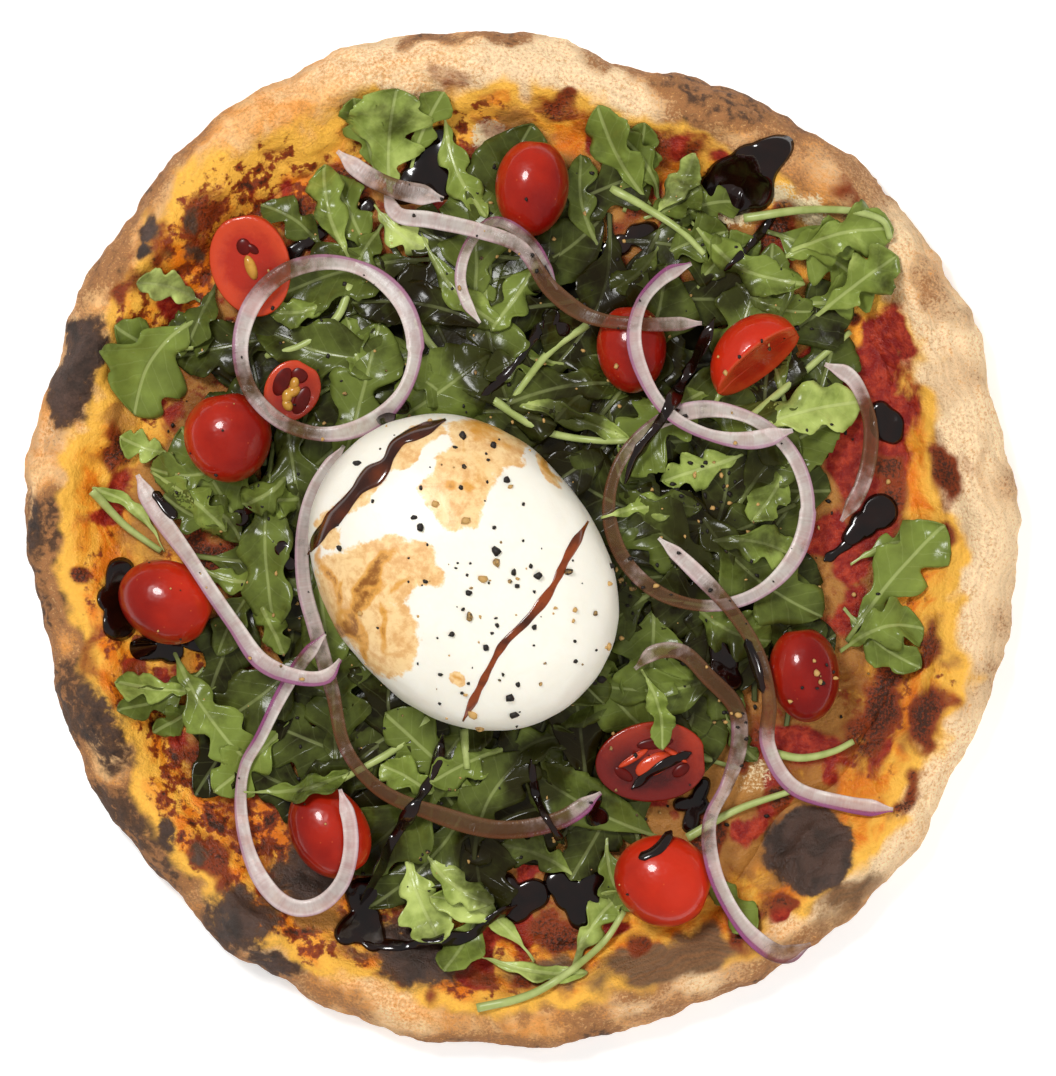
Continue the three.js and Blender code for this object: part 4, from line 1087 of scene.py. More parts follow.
class PIZZA_OT_tomatoes(bpy.types.Operator):
    """Lays out the whole and halved cherry tomatoes"""

    bl_idname = "pizza.tomatoes"
    bl_label = "Cherry tomatoes"

    def execute(self, context):
        settings = context.scene.pizza_toppings
        materials = [make(settings) for make in (tomato_skin, tomato_flesh, tomato_seed, tomato_gel)]
        for name, (turn, ripe, *cut) in TOMATOES.items():
            x, y, long, wide, high = TOMATO_FORMS[name]
            middle = Vector((x, y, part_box(name)[0].z / MM + high))
            bm = bmesh.new()
            ripeness = bm.verts.layers.float.new("ripe")
            bmesh.ops.create_uvsphere(bm, u_segments=44, v_segments=30, radius=1)
            c, s = heading(turn)
            for v in bm.verts:
                a, b, h = v.co.z, v.co.y, -v.co.x
                dimple = 1 - DIMPLE_DEPTH * math.exp(-(((a - 1) / DIMPLE_WIDTH) ** 2))
                taper = 1 + FRUIT_TAPER * a
                v[ripeness] = ripe + RIPE_ACROSS * b + RIPE_ALONG * a
                a, b, h = a * dimple * long, b * wide * taper, h * high * taper
                v.co = Vector((a * c - b * s, a * s + b * c, h)) * MM
            if cut:
                self.halve(bm, name, math.radians(turn), *cut)
            bmesh.ops.translate(bm, verts=bm.verts, vec=middle * MM)
            mesh = to_mesh(bm, name)
            add_piece(mesh, name + "_fruit", materials, [name])
        return {"FINISHED"}

    def halve(self, bm, name, turn, lean, toward):
        """Cuts a fruit through its middle and shapes the face with its wet chambers."""
        lean, toward = math.radians(lean), math.radians(toward)
        tilt = math.sin(lean)
        normal = Vector((tilt * math.cos(toward), tilt * math.sin(toward), math.cos(lean)))
        ripeness = bm.verts.layers.float["ripe"]
        heart = bm.verts.layers.float.new("heart")
        whole = bm.verts[:] + bm.edges[:] + bm.faces[:]
        cut = bmesh.ops.bisect_plane(bm, geom=whole, plane_co=(0, 0, 0), plane_no=normal, clear_outer=True)
        ring = [e for e in cut["geom_cut"] if isinstance(e, bmesh.types.BMEdge)]
        size, level = 1.0, 0.0
        for share, depth in CUT_STEPS:
            made = bmesh.ops.extrude_edge_only(bm, edges=ring)["geom"]
            fresh = {v for v in made if isinstance(v, bmesh.types.BMVert)}
            for v in fresh:
                v.co = (v.co - normal * level * MM) * share / size + normal * depth * MM
                v[heart] = 1 - share
            ring = [e for e in made if isinstance(e, bmesh.types.BMEdge) and set(e.verts) <= fresh]
            for f in (f for f in made if isinstance(f, bmesh.types.BMFace)):
                f.material_index = 1
            size, level = share, depth
        bmesh.ops.edgeloop_fill(bm, edges=ring, mat_nr=1)
        bmesh.ops.recalc_face_normals(bm, faces=bm.faces)
        side = normal.cross(Vector((math.cos(turn), math.sin(turn), 0))).normalized()
        ahead = side.cross(normal)
        for along, across, long, wide, spin, number in TOMATO_INSIDES[name]:
            ball = bmesh.ops.create_uvsphere(bm, u_segments=20, v_segments=12, radius=MM)["verts"]
            c, s = heading(spin)
            for v in ball:
                a, b, h = v.co.x * long, v.co.y * wide, v.co.z * INSIDE_HEIGHTS[number]
                place = ahead * (along * MM + a * c - b * s) + side * (across * MM + a * s + b * c)
                v.co = place + normal * (h - INSIDE_SINK * MM)
                v[ripeness] = INSIDE_RIPENESS
            for f in {f for v in ball for f in v.link_faces}:
                f.material_index = number


# Red onion strips: places in order, or a closed ring (x, y, half long, half wide); then the width,
# the strength of the purple skin at the start and the end, how stained the strip is, and where most.
ONIONS = {
    "onion_01": (((-53.5, 27.5), (-62, 14.5), (-65.8, 1), (-65.5, -14), (-61.8, -28), (-57, -46),
        (-53, -63), (-43, -75), (-27, -82), (-7, -87), (11, -84), (23, -76)), 5.2, 0, 0.9, 0.8, 0.6),
    "onion_02": (((-59, -28.5), (-67, -38), (-73, -48), (-79, -60), (-83.5, -68), (-85, -78),
        (-83.5, -90), (-79, -101), (-73, -108), (-67, -110.5), (-60.5, -109), (-54.5, -103),
        (-51.5, -94), (-51.5, -85), (-54.5, -74.5)), 4.8, 1.3, 0.0, 0.0, 0.5),
    "onion_03": (((-116, 19), (-111, 9), (-98, -8), (-86.5, -25.5), (-78, -37), (-66, -41.5),
        (-58.5, -41), (-54.5, -36)), 5.4, 0.1, 0.8, 0.15, 0.1),
    "onion_04": ((55, 9.1, 29.8, 29.3), 5.0, 0.3, 0.3, 0.6, 0.6),
    "onion_05": (((40, 0), (50, -9), (62, -22), (70, -35), (73, -49), (73, -62), (80.5, -74.5),
        (96, -79.5), (110, -81)), 4.9, 0, 1.1, 0.6, 0.4),
    "onion_06": (((10, 74), (2, 88), (-9, 94), (-16, 88), (-19, 78), (-17, 70),
        (-13, 64)), 4.2, 0.9, 0.2, 0.2, 0.5),
    "onion_07": (((-42, 105), (-38, 97), (-28, 95), (-13, 91), (-1, 86), (8, 74), (19, 66), (33, 63.5),
        (53, 64)), 4.8, 0, 0.4, 0.7, 0.65),
    "onion_08": (((50, 82), (42, 78), (35, 70), (32.5, 59), (36, 47), (43, 37), (54, 31), (67, 29),
        (80, 32)), 5.0, 0.9, 0.5, 0.2, 0.55),
    "onion_09": (((-56, 116), (-49, 110), (-40, 105), (-24, 101)), 6.4, 0, 0, 0.5, 0.5),
    "onion_10": ((-58.5, 56.6, 26.2, 25.8), 5.4, 0.45, 0.45, 0.3, 0.5),
    "onion_11": (((90, 52), (98, 48), (103, 38), (104, 28), (101, 15), (95, 5)), 4.6, 0, 0, 0.7, 0.5),
    "onion_12": (((33, -39), (39, -34), (47, -34), (55, -41.5), (63.5, -51), (64.5, -61.5), (61, -73.5),
        (55.5, -84.5), (56, -97), (61.5, -110), (68.5, -119), (77, -124),
        (85.5, -121)), 5.2, 0, 1.4, 0.6, 0.25),
}


# Spacing of the strips' sections, how far they sink, how square they are and how long their ends taper.
ONION_STEP = 1.3
ONION_SINK = 0.4
ONION_SQUARE = 0.65
ONION_TAPER = 7


def ring_places(x, y, long, wide):
    turns = np.linspace(0, math.tau, 12, endpoint=False)
    return [(x + long * math.cos(a), y + wide * math.sin(a)) for a in turns]


class PIZZA_OT_onions(bpy.types.Operator):
    """Drapes the strips of red onion"""

    bl_idname = "pizza.onions"
    bl_label = "Red onion"

    def execute(self, context):
        material = red_onion(context.scene.pizza_toppings)
        for number, (name, (through, width, skin, skin_end, stain, most)) in enumerate(ONIONS.items()):
            closed = not isinstance(through[0], tuple)
            through = ring_places(*through) if closed else through
            places, sides, run = route(through, closed, ONION_STEP)
            tree = tree_of(frame["nodes"][name].data)
            heights = np.array([height_under(tree, *place) for place in places], dtype=float)
            heights -= ONION_HEIGHT * ONION_SINK
            known = ~np.isnan(heights)
            heights = np.interp(np.arange(len(places)), np.flatnonzero(known), heights[known])
            padded = np.pad(heights, 3, mode="wrap" if closed else "edge")
            soft = np.convolve(padded, np.ones(7) / 7, "valid")
            t = np.linspace(0, 1, len(places))
            # Width and height wander a little along the strip.
            wave = flat(run, np.full_like(run, number * 31.0))
            wide = width * (0.92 + 0.24 * lumps(wave, 17, 3))
            high = ONION_HEIGHT * (0.62 + 0.1 * lumps(wave, 13, 4))
            if closed:
                wide[-1], high[-1], soft[-1] = wide[0], high[0], soft[0]
            else:
                full = ease(0, ONION_TAPER, run) * ease(0, ONION_TAPER, run[-1] - run)
                ends = END_WIDTH + (1 - END_WIDTH) * full
                wide, high = wide * ends, high * ends
            bm, facts = band(places, sides, soft, wide, high, closed, ONION_SQUARE, 16)
            mesh = to_mesh(bm, name)
            at = facts[:, 0].astype(int)
            p = points_of(mesh)
            paint(mesh, "across", facts[:, 1])
            paint(mesh, "along", run[at])
            tinge = 0.2 + skin + (skin_end - skin) * t[at]
            near = np.exp(-((t[at] - most) / 0.25) ** 2)
            paint(mesh, "stain", stain * (0.5 + near) + 0.45 * lumps(p, 22, 90 + number, 2))
            paint(mesh, "blush", np.clip(tinge * (0.8 + 0.5 * lumps(p, 18, 120 + number)), 0, 1))
            add_piece(mesh, name + "_strip", [material], [name])
        return {"FINISHED"}


BURRATA_STAINS = (
    # x, y, half long, half short, turn, strength
    (-12, 29, 11, 8, 160, 0.95), (-20, 12, 11, 9, 95, 0.9), (-16, 20, 9, 9, 0, 0.9),
    (-44, -10, 14, 10, 20, 0.9), (-52, -14, 13, 11, 60, 0.85), (-42, -27, 15, 10, 115, 0.9),
    (-32, -9, 7, 8, 90, 0.9), (-20, -41, 3.4, 2.6, 20, 0.9), (-32, 29, 12, 3.5, 40, 0.8),
    (-58, 2, 5, 5, 0, 0.8), (6, 22, 6, 2, 125, 0.7), (-50, 12, 12, 2.5, 40, 0.6),
)
BURRATA_STREAKS = (
    (-44, -11, 8, 1.5, 52, 0.95), (-47, -17, 7, 1.6, 40, 0.85), (-50, -21, 9, 1.5, 48, 0.9),
    (-57, -11, 1.6, 6, 15, 0.85), (-54, -16, 5, 1.4, 70, 0.8), (-41, -26, 8, 1.4, 105, 0.75),
    (-52, -27, 7, 1.4, 130, 0.9), (-47, -31, 5, 1.3, 120, 0.75), (-38, -14, 5, 1.3, 30, 0.65),
    (-60, -4, 4, 1.5, 100, 0.7), (-15, 15, 4, 1.6, 20, 0.65), (-22, 13, 3, 1.3, 0, 0.7),
    (-20, -41, 2.4, 1.5, 20, 0.8), (8, 23, 5, 1.2, 125, 0.8), (-11, 32, 9, 3, 160, 0.55),
    (-8, 27, 6, 1.6, 140, 0.55), (-50, 14, 9, 1.6, 40, 0.6), (-13, 21, 3, 6, 0, 0.45),
    (-18, 29, 5, 1.4, 100, 0.5),
)


# Lumps of the cheese, and the height above which glaze stains it.
BURRATA_LUMPS = ((24, 7, 1, 0.8), (9, 8, 2, 0.3))
STAIN_FLOOR = 26


def burrata_top(x, y):
    """Height of the cheese's own surface."""
    heights = np.array([height_under(laid["burrata"], *place) for place in zip(x, y)], dtype=float)
    return np.where(np.isnan(heights), BURRATA_MIDDLE[2], heights)


class PIZZA_OT_burrata(bpy.types.Operator):
    """Sets the ball of burrata on the salad"""

    bl_idname = "pizza.burrata"
    bl_label = "Burrata"

    def execute(self, context):
        bm = bmesh.new()
        bmesh.ops.create_uvsphere(bm, u_segments=160, v_segments=90, radius=1)
        mesh = to_mesh(bm, "burrata")
        p = points_of(mesh) * MM
        flat_reach, bearing = polar(p)
        level = np.abs(p[:, 2])
        high = np.where(p[:, 2] > 0, BURRATA_UP, BURRATA_DOWN)
        z = BURRATA_MIDDLE[2] + np.sign(p[:, 2]) * high * level
        wide = np.clip(1 - level ** BURRATA_FULLNESS, 0, 1) ** (1 / BURRATA_FULLNESS)
        reach = burrata_radius(bearing) * wide / np.maximum(flat_reach, 1e-6)
        q = np.stack([p[:, 0] * reach + BURRATA_MIDDLE[0], p[:, 1] * reach + BURRATA_MIDDLE[1], z], axis=1)
        set_points(mesh, q)
        set_points(mesh, q + normals_of(mesh) * lumpy(q, BURRATA_LUMPS)[:, None])
        for name, rows, seed in (("stain", BURRATA_STAINS, 15), ("deep", BURRATA_STREAKS, 17)):
            paint(mesh, name, patches(q[:, 0], q[:, 1], rows, 2.5, seed) * (z > STAIN_FLOOR))
        laid["burrata"] = tree_of(mesh)
        material = fresh_cheese(context.scene.pizza_toppings)
        add_piece(mesh, "burrata_ball", [material], ["burrata"])
        return {"FINISHED"}


# Rocket leaves that can be told apart: stalk foot, tip, width and tone. A fifth value marks a leaf
# that lies over the toppings.
# Each tone is the leaf's own green and partly painted light: leaves that lie high and lit have brighter
# tones.
LEAVES = (
    ((-44, 108), (-51, 131), 14, 0.5), ((-34, 110), (-24, 133), 13, 0.6),
    ((-46, 84), (-58, 109), 16, 0.3), ((-42, 95), (-52, 76), 14, 0.2), ((-88, 64), (-107, 61), 16, 0.1),
    ((-92, 77), (-101, 57), 12, 0.2), ((-99, 57), (-122, 63), 14, 0.4), ((-87, 22), (-112, 21), 15, 0.35),
    ((-85, 5), (-108, 13), 14, 0.1), ((-83, -4), (-98, 11), 12, 0.15), ((-78, -13), (-92, -35), 12, 0.15),
    ((-96, -39), (-121, -51), 12, 0.2), ((-92, -44), (-111, -58), 10, 0.3),
    ((-13, -104), (-24, -129), 14, 0.45), ((-16, -124), (19, -130), 6, 0.75),
    ((25, -88), (32, -112), 12, 0.4), ((30, 98), (36, 124), 14, 0.4), ((41, 99), (28, 121), 10, 0.25),
    ((43, 92), (65, 101), 14, 0.3), ((39, 83), (61, 92), 16, 0.15), ((52, 75), (71, 89), 14, 0.25),
    ((36, 96), (53, 105), 12, 0.35), ((73, 92), (101, 77), 20, 0.45), ((76, 83), (99, 89), 16, 0.5),
    ((82, 71), (105, 78), 16, 0.45), ((96, -21), (119, -39), 14, 0.45), ((98, -8), (123, -1), 10, 0.45),
    ((47, -33), (66, -53), 14, 0.15), ((60, -52), (70, -67), 8, 0.15), ((-40, 102), (-38, 134), 27, 0.75),
    ((-24, 128), (-11, 96), 11, 0.55), ((-52, 83), (-60, 112), 13, 0.5),
    ((-45, 100), (-29, 86), 11, 0.85), ((-60, 87), (-79, 100), 13, 0.2), ((-97, 71), (-115, 76), 11, 1),
    ((-98, 66), (-117, 37), 28, 0.5), ((-105, 25), (-121, 30), 11, 0.6), ((-112, 20), (-89, 2), 12, 0.6),
    ((-108, -4), (-129, 15), 5, 0.8), ((-100, -7), (-77, -13), 9, 0.45),
    ((-106, -32), (-82, -68), 18, 0.55), ((-95, -45), (-122, -43), 10, 0.6),
    ((-70, -55), (-93, -76), 18, 0.45), ((-84, -76), (-52, -70), 8, 0.55, 1),
    ((-36, -92), (-25, -121), 18, 0.8), ((3, -127), (-28, -107), 12, 0.75),
    ((14, -130), (30, -106), 11, 0.7), ((50, -100), (69, -118), 12, 0.5), ((97, -31), (126, 4), 22, 0.5),
    ((95, -34), (120, -27), 18, 0.5), ((39, -19), (37, -49), 27, 0.35), ((35, -39), (41, -63), 9, 0.6, 1),
    ((80, 86), (110, 92), 18, 0.55), ((87, 66), (111, 84), 18, 0.55), ((63, 77), (87, 68), 12, 0.3),
    ((50, 95), (84, 76), 14, 0.6), ((38, 100), (22, 129), 15, 0.4), ((39, 97), (51, 115), 10, 0.75),
    ((23, 86), (17, 115), 12, 0.2), ((65, 32), (101, 41), 18, 0.7), ((23, 6), (53, 9), 10, 0.65, 1),
    ((66, 25), (41, 17), 13, 0.6), ((80, 26), (68, 5), 13, 0.55), ((54, -1), (83, -7), 14, 0.5),
    ((50, -19), (74, -31), 18, 0.35), ((-10, 42), (32, 29), 8, 0.6), ((6, 86), (-10, 62), 12, 0.4),
    ((-31, 92), (-7, 63), 11, 0.5), ((-44, 39), (-53, 66), 12, 0.5), ((-54, 74), (-77, 68), 10, 0.45),
    ((-25, -79), (-43, -68), 13, 0.5), ((-1, -62), (-28, -73), 15, 0.35), ((23, -59), (-6, -68), 12, 0.3),
    ((17, -103), (-7, -92), 13, 0.5), ((-30, -94), (-9, -109), 11, 0.65), ((23, -76), (5, -64), 12, 0.4),
    ((-81, -16), (-72, -35), 10, 0.4), ((30, 46), (9, 35), 13, 0.25), ((41, 89), (26, 74), 11, 0.5),
    ((-87, 15), (-66, 12), 12, 0.5), ((-70, 20), (-84, 10), 12, 0.35), ((-38, 54), (-20, 40), 12, 0.35),
    ((12, 52), (-12, 48), 12, 0.3),
)
STALKS = (
    ((26, 105), (35, 100), (47, 92), (54, 85)), ((66, 96), (83, 98), (98, 97), (107, 94), (109, 89)),
    ((-52, 76), (-56, 66), (-66, 58), (-79, 54)), ((-37, 74), (-28, 58), (-15, 46)),
    ((19, 64), (8, 56), (-3, 42)), ((-9, 41), (6, 32), (23, 29), (32, 29)),
    ((-28, -53), (-37, -62), (-54, -72)), ((-18, -57), (-17, -69)),
    ((-14, -140), (2, -136), (14, -129), (24, -121), (30, -112)), ((49, -90), (63, -82), (80, -76)),
    ((73, -64), (83, -66), (93, -64), (99, -61)), ((63, 32), (83, 49), (98, 62)),
    ((-129, 14), (-120, 4), (-109, -4)),
)
# Places with hardly any leaves, and places where leaves are darkened by glaze and as painted shade: x, y
# and radius.
BARE_PLACES = ((94, 4, 20), (-80, -78, 16), (58, -82, 18), (12, 121, 16), (104, 36, 14), (6, -113, 15))
GLAZED_AND_SHADED_PLACES = (
    (54, 0, 17), (60, -40, 16), (-6, -98, 24), (-42, -90, 13), (14, 36, 15), (30, 80, 17), (-62, 6, 15),
    (-66, -32, 15), (-33, 78, 13), (-72, 62, 12), (-10, 54, 17), (70, 23, 10), (4, -68, 14), (62, 76, 12),
    (-88, 34, 10), (40, 50, 14),
)
# Layers of spread leaves: lengths, widths, tones and how much they stand up. The lower layer's dark tones
# are painted shade deep in the heap.
LOWER_LEAVES = ((34, 54), (16, 28), (0.0, 0.14), 0.5)
UPPER_LEAVES = ((36, 58), (15, 28), (0.04, 0.5), 1.0)
# They are spread by this turn over a share of the heap, but not under the middle of the cheese.
GOLDEN_ANGLE = 137.508
HEAP_FILLED = 0.95
HIDDEN_SHARE = 0.75
# Leaves farther out than this point outwards, within a turn to each side in radians.
OUTER_LEAVES = 84
OUTER_TURN = 1.3
# How much of its height a leaf adds to the heap, and how much brighter the placed leaves on top are, as
# painted light.
SPREAD_PRESS = 0.45
PLACED_PRESS = 0.75
PLACED_LIT_TONE = 0.15
# Leaves pass under the toppings: gap, slope beside them and reach of the slope.
ROOF_GAP = 0.5
ROOF_SLOPE = 0.6
ROOF_REACH = 10
# A leaf: share of lobed ones, share that is stalk, steps along and across, and leaves in one mesh.
LOBED_SHARE = 0.75
STALK_SHARE = 0.1
LEAF_ALONG = 44
LEAF_ACROSS = 10
LEAVES_A_PIECE = 90
# Its thickness, its gap over the leaves below, how far it may dip into them, and its gap over the base.
LEAF_THICKNESS = 0.35
LEAF_GAP = 0.35
LEAF_DIP = -0.6
FLOOR_GAP = 0.4
# Ranges from which each leaf's outline and bends are drawn.
BLADE_SHIFT = (0.9, 1.8)
LOBES = (2.0, 3.4)
LOBE_DEPTH = (0.35, 0.7)
TEETH = (6, 10)
TOOTH_DEPTH = (0.03, 0.12)
LEAF_BEND = (-0.14, 0.14)
LEAF_SWEEP = (0.05, 0.4)
LEAF_ARCH = (0.6, 3.6)
LEAF_TIP = (-0.5, 4.5)
LEAF_FOLD = (-0.15, 0.5)
LEAF_CURL = (-0.02, 0.03)
LEAF_BEATS = (9, 22)
LEAF_RUFFLE = (0.4, 1.8)
LEAF_TWIST = (-0.6, 0.6)
LEAF_TONE = (-0.08, 0.08)
# Bare stalks: spacing of their sections, rise over the leaves, and width at both ends.
STALK_STEP = 1.2
STALK_RISE = 1.2
STALK_WIDTHS = (2.8, 1.9)


# The bed of crushed leaves: its share of the heap's reach, how much lower its edge and top are than the
# heap's, its lowest edge and its bottom.
BED_SHARE = 0.86
BED_SINK = 2.5
BED_LOWER = 8
BED_SKIRT = LAYER_TOP - 1.5
BED_BOTTOM = LAYER_TOP - 1.6


def bed_height(share):
    return HEAP_FLOOR - BED_SINK + (HEAP_HEIGHT - BED_LOWER) * np.clip(1 - share ** 3, 0, 1)


def leaf_outline(t, random, lobed):
    """Half width of a leaf as a share of its full half width, stalk to tip."""
    blade = np.clip((t - STALK_SHARE) / (1 - STALK_SHARE), 0, 1)
    shape = np.sin(np.pi * blade ** random.uniform(*BLADE_SHIFT)) ** 0.65
    if lobed:
        beat = blade * random.uniform(*LOBES) + random.uniform()
        notch = (0.5 - 0.5 * np.cos(math.tau * beat)) ** 1.6
        shape = shape * (1 - random.uniform(*LOBE_DEPTH) * notch * (1 - ease(0.6, 0.95, blade)))
    saw = (blade * random.uniform(*TEETH) + random.uniform()) % 1
    shape = shape * (1 - random.uniform(*TOOTH_DEPTH) * saw)
    return np.maximum(shape, np.where(t < 0.2, 0.06, 0.015))


class PIZZA_OT_rocket(bpy.types.Operator):
    """Heaps the rocket leaves and stalks round the other toppings"""

    bl_idname = "pizza.rocket"
    bl_label = "Rocket"

    def execute(self, context):
        if "base" not in laid:
            raise RuntimeError("The base is baked and spread before the rocket is heaped")
        settings = context.scene.pizza_salad
        random = np.random.default_rng(settings.seed)
        x, y = grid_places()
        flat_x, flat_y = x.ravel(), y.ravel()
        share = np.hypot(flat_x, flat_y) / heap_radius(bearing_of(flat_x, flat_y))
        base = laid["base"].values.ravel()
        base = np.where(share < 1, np.maximum(base, bed_height(share)), base)
        self.floor = HeightMap(base.reshape(x.shape))
        self.pile = HeightMap(self.floor.values.copy())
        top, low = node_heights(["burrata", *TOMATOES, *ONIONS])
        self.roof = HeightMap(spread_limit(low - ROOF_GAP, ROOF_SLOPE, ROOF_REACH))
        self.cover = HeightMap(top)
        self.blades = []
        self.add_bed(settings)
        self.spread(random, settings.filler, *LOWER_LEAVES)
        self.spread(random, settings.upper, *UPPER_LEAVES)
        for foot, tip, width, tone, *over in LEAVES:
            ends = np.array((foot, tip), float)
            self.lay(*ends, width, tone + PLACED_LIT_TONE, random, over, PLACED_PRESS, 1.0)
        self.add_leaves(settings)
        self.add_stalks(settings)
        shown = [
            piece.data for piece in context.scene.objects
            if piece.name.startswith("rocket_leaves") or piece.name.endswith(("_fruit", "_strip", "_ball"))
        ]
        laid["top"] = HeightMap(np.maximum(seen_from_above(shown).values, self.floor.values))
        return {"FINISHED"}

    def add_bed(self, settings):
        """The crushed leaves at the bottom of the heap, coloured near black as painted shade."""
        profile = [(0, 0), (DISC, 0), *[(s * DISC, 1) for s in np.linspace(1, 0, 24)]]
        mesh = to_mesh(spun(profile, 120), "rocket_bed")
        p = points_of(mesh)
        radius, bearing = polar(p)
        upper = p[:, 2] > 0.5
        p[:, :2] *= (heap_radius(bearing) * BED_SHARE / DISC)[:, None]
        rise = bed_height(radius / DISC) - 0.3 + 0.5 * lumps(flat(p[:, 0], p[:, 1]), 7, 33)
        p[:, 2] = np.where(upper, np.maximum(rise, BED_SKIRT), BED_BOTTOM)
        set_points(mesh, p)
        add_piece(mesh, "rocket_bed", [shaded_leaf_bed(settings)], ["rocket_heap"])

    def spread(self, random, count, lengths, widths, tones, lift):
        """A layer of leaves all over the heap, each with its own direction, size and green."""
        beside = [pool[0][:2] for pool in GLAZE_POOLS if not on_leaves(pool)]
        for k in random.permutation(count):
            bearing = k * GOLDEN_ANGLE + random.uniform(-6, 6)
            a = math.radians(bearing)
            reach = float(heap_radius(np.array(bearing))) * math.sqrt((k + 0.5) / count) * HEAP_FILLED
            middle = np.array([reach * math.cos(a), reach * math.sin(a)])
            dx, dy = middle[0] - BURRATA_MIDDLE[0], middle[1] - BURRATA_MIDDLE[1]
            hidden = math.hypot(dx, dy) < HIDDEN_SHARE * burrata_radius(bearing_of(dx, dy))
            wet = any(math.dist(middle, place) < POOL_CLEAR for place in beside)
            bare = any(math.dist(middle, spot[:2]) < spot[2] for spot in BARE_PLACES)
            if hidden or wet or bare:
                continue
            if reach > OUTER_LEAVES:
                way = a + random.uniform(-OUTER_TURN, OUTER_TURN)
            else:
                way = random.uniform(0, math.tau)
            half = random.uniform(*lengths) / 2 * np.array([math.cos(way), math.sin(way)])
            width, tone = random.uniform(*widths), random.uniform(*tones)
            self.lay(middle - half, middle + half, width, tone, random, False, SPREAD_PRESS, lift)

    def lay(self, foot, tip, width, tone, random, over, press, lift):
        """Lays one leaf on the heap and keeps its points."""
        t = np.linspace(0, 1, LEAF_ALONG + 1)
        s = np.linspace(-1, 1, LEAF_ACROSS + 1)[None, :]
        length = np.linalg.norm(tip - foot)
        # Leaves that were placed one by one are always lobed.
        lobed = random.uniform() < LOBED_SHARE or press > SPREAD_PRESS
        ahead = (tip - foot) / length
        side = np.array([-ahead[1], ahead[0]])
        left = leaf_outline(t, random, lobed)[:, None] * width / 2
        right = leaf_outline(t, random, lobed)[:, None] * width / 2
        across = s * np.where(s < 0, left, right)
        t = t[:, None]
        off = across + random.uniform(*LEAF_BEND) * length * np.sin(np.pi * t)
        run = t * length + np.abs(across) * random.uniform(*LEAF_SWEEP) * np.sin(np.pi * t)
        px = foot[0] + ahead[0] * run + side[0] * off
        py = foot[1] + ahead[1] * run + side[1] * off
        under = self.pile.at(px, py)
        if over:
            under = np.maximum(under, self.cover.at(px, py))
        z = under.copy()
        for _ in range(12):
            soft = z.copy()
            soft[1:-1] = (z[:-2] + z[1:-1] + z[2:]) / 3
            soft[:, 1:-1] = (soft[:, :-2] + soft[:, 1:-1] + soft[:, 2:]) / 3
            z = np.maximum(under, soft)
        arch = random.uniform(*LEAF_ARCH) * np.sin(np.pi * t) ** 1.2 + random.uniform(*LEAF_TIP) * t ** 3
        fold = random.uniform(*LEAF_FOLD) * np.abs(across)
        curl = random.uniform(*LEAF_CURL) * across * np.abs(across) * random.choice([-1, 1])
        wave = np.sin(t * random.uniform(*LEAF_BEATS) + 1.5 * s + random.uniform(0, 6))
        ruffle = random.uniform(*LEAF_RUFFLE) * s ** 2 * wave
        twist = across * random.uniform(*LEAF_TWIST) * (t - 0.4)
        spine = 0.4 * np.exp(-((across / 0.9) ** 2)) * (1 - 0.6 * t)
        shape = spine + lift * (arch + (fold + curl + ruffle + twist) * ease(0.12, 0.4, t))
        z = z + LEAF_GAP + np.maximum(shape, LEAF_DIP)
        floor = self.floor.at(px, py) + FLOOR_GAP
        if not over:
            z = np.minimum(z, np.maximum(self.roof.at(px, py), floor))
        z = np.maximum(z, floor)
        self.pile.raise_to(px, py, under + press * (z - under))
        tones = np.full(px.shape, np.clip(tone + random.uniform(*LEAF_TONE), 0, 1))
        self.blades.append((px, py, z, np.abs(across), np.broadcast_to(run, px.shape), tones))

    def add_leaves(self, settings):
        """Joins the leaves in a few thin meshes."""
        bm = bmesh.new()
        bmesh.ops.create_grid(bm, x_segments=LEAF_ACROSS, y_segments=LEAF_ALONG, size=1)
        bm.verts.ensure_lookup_table()
        corners = [(round(v.co.y, 4), round(v.co.x, 4), v.index) for v in bm.verts]
        rank = {index: place for place, (_, _, index) in enumerate(sorted(corners))}
        faces = np.array([[rank[v.index] for v in f.verts] for f in bm.faces])
        bm.free()
        material = rocket_leaf(settings)
        for first in range(0, len(self.blades), LEAVES_A_PIECE):
            some = self.blades[first:first + LEAVES_A_PIECE]
            stacked = [np.concatenate([blade[k].ravel() for blade in some]) for k in range(6)]
            quads = (faces[None] + np.arange(len(some))[:, None, None] * len(rank)).reshape(-1, 4)
            name = f"rocket_leaves_{first // LEAVES_A_PIECE + 1}"
            mesh = bpy.data.meshes.new(name)
            mesh.from_pydata((np.stack(stacked[:3], axis=1) * MM).tolist(), [], quads.tolist())
            mesh.shade_smooth()
            for key, values in zip(("from_rib", "along", "tone"), stacked[3:]):
                paint(mesh, key, values)
            # Leaves near these places are darkened for glaze and partly as painted shade.
            soaked = [
                ease(r, 0.2 * r, np.hypot(stacked[0] - x, stacked[1] - y)) for x, y, r in GLAZED_AND_SHADED_PLACES
            ]
            paint(mesh, "soaked", np.max(soaked, axis=0))
            piece = add_piece(mesh, name, [material], ["rocket_heap"])
            solid = piece.modifiers.new("Thickness", "SOLIDIFY")
            solid.thickness = LEAF_THICKNESS * MM
            solid.offset = -1

    def add_stalks(self, settings):
        """Bare stalks that lie on the leaves."""
        material = rocket_stalk(settings)
        for number, through in enumerate(STALKS):
            places, sides, _ = route(through, False, STALK_STEP)
            under = np.minimum(self.pile.at(*places.T), self.roof.at(*places.T))
            heights = under.copy()
            for _ in range(30):
                heights[1:-1] = np.maximum(under[1:-1], (heights[:-2] + heights[2:]) / 2)
            thick = np.linspace(*STALK_WIDTHS, len(places))
            bm, _ = band(places, sides, heights + STALK_RISE, thick, thick, False, 1, 10)
            mesh = to_mesh(bm, f"stalk_{number + 1:02d}")
            add_piece(mesh, f"rocket_stalk_{number + 1:02d}", [material])


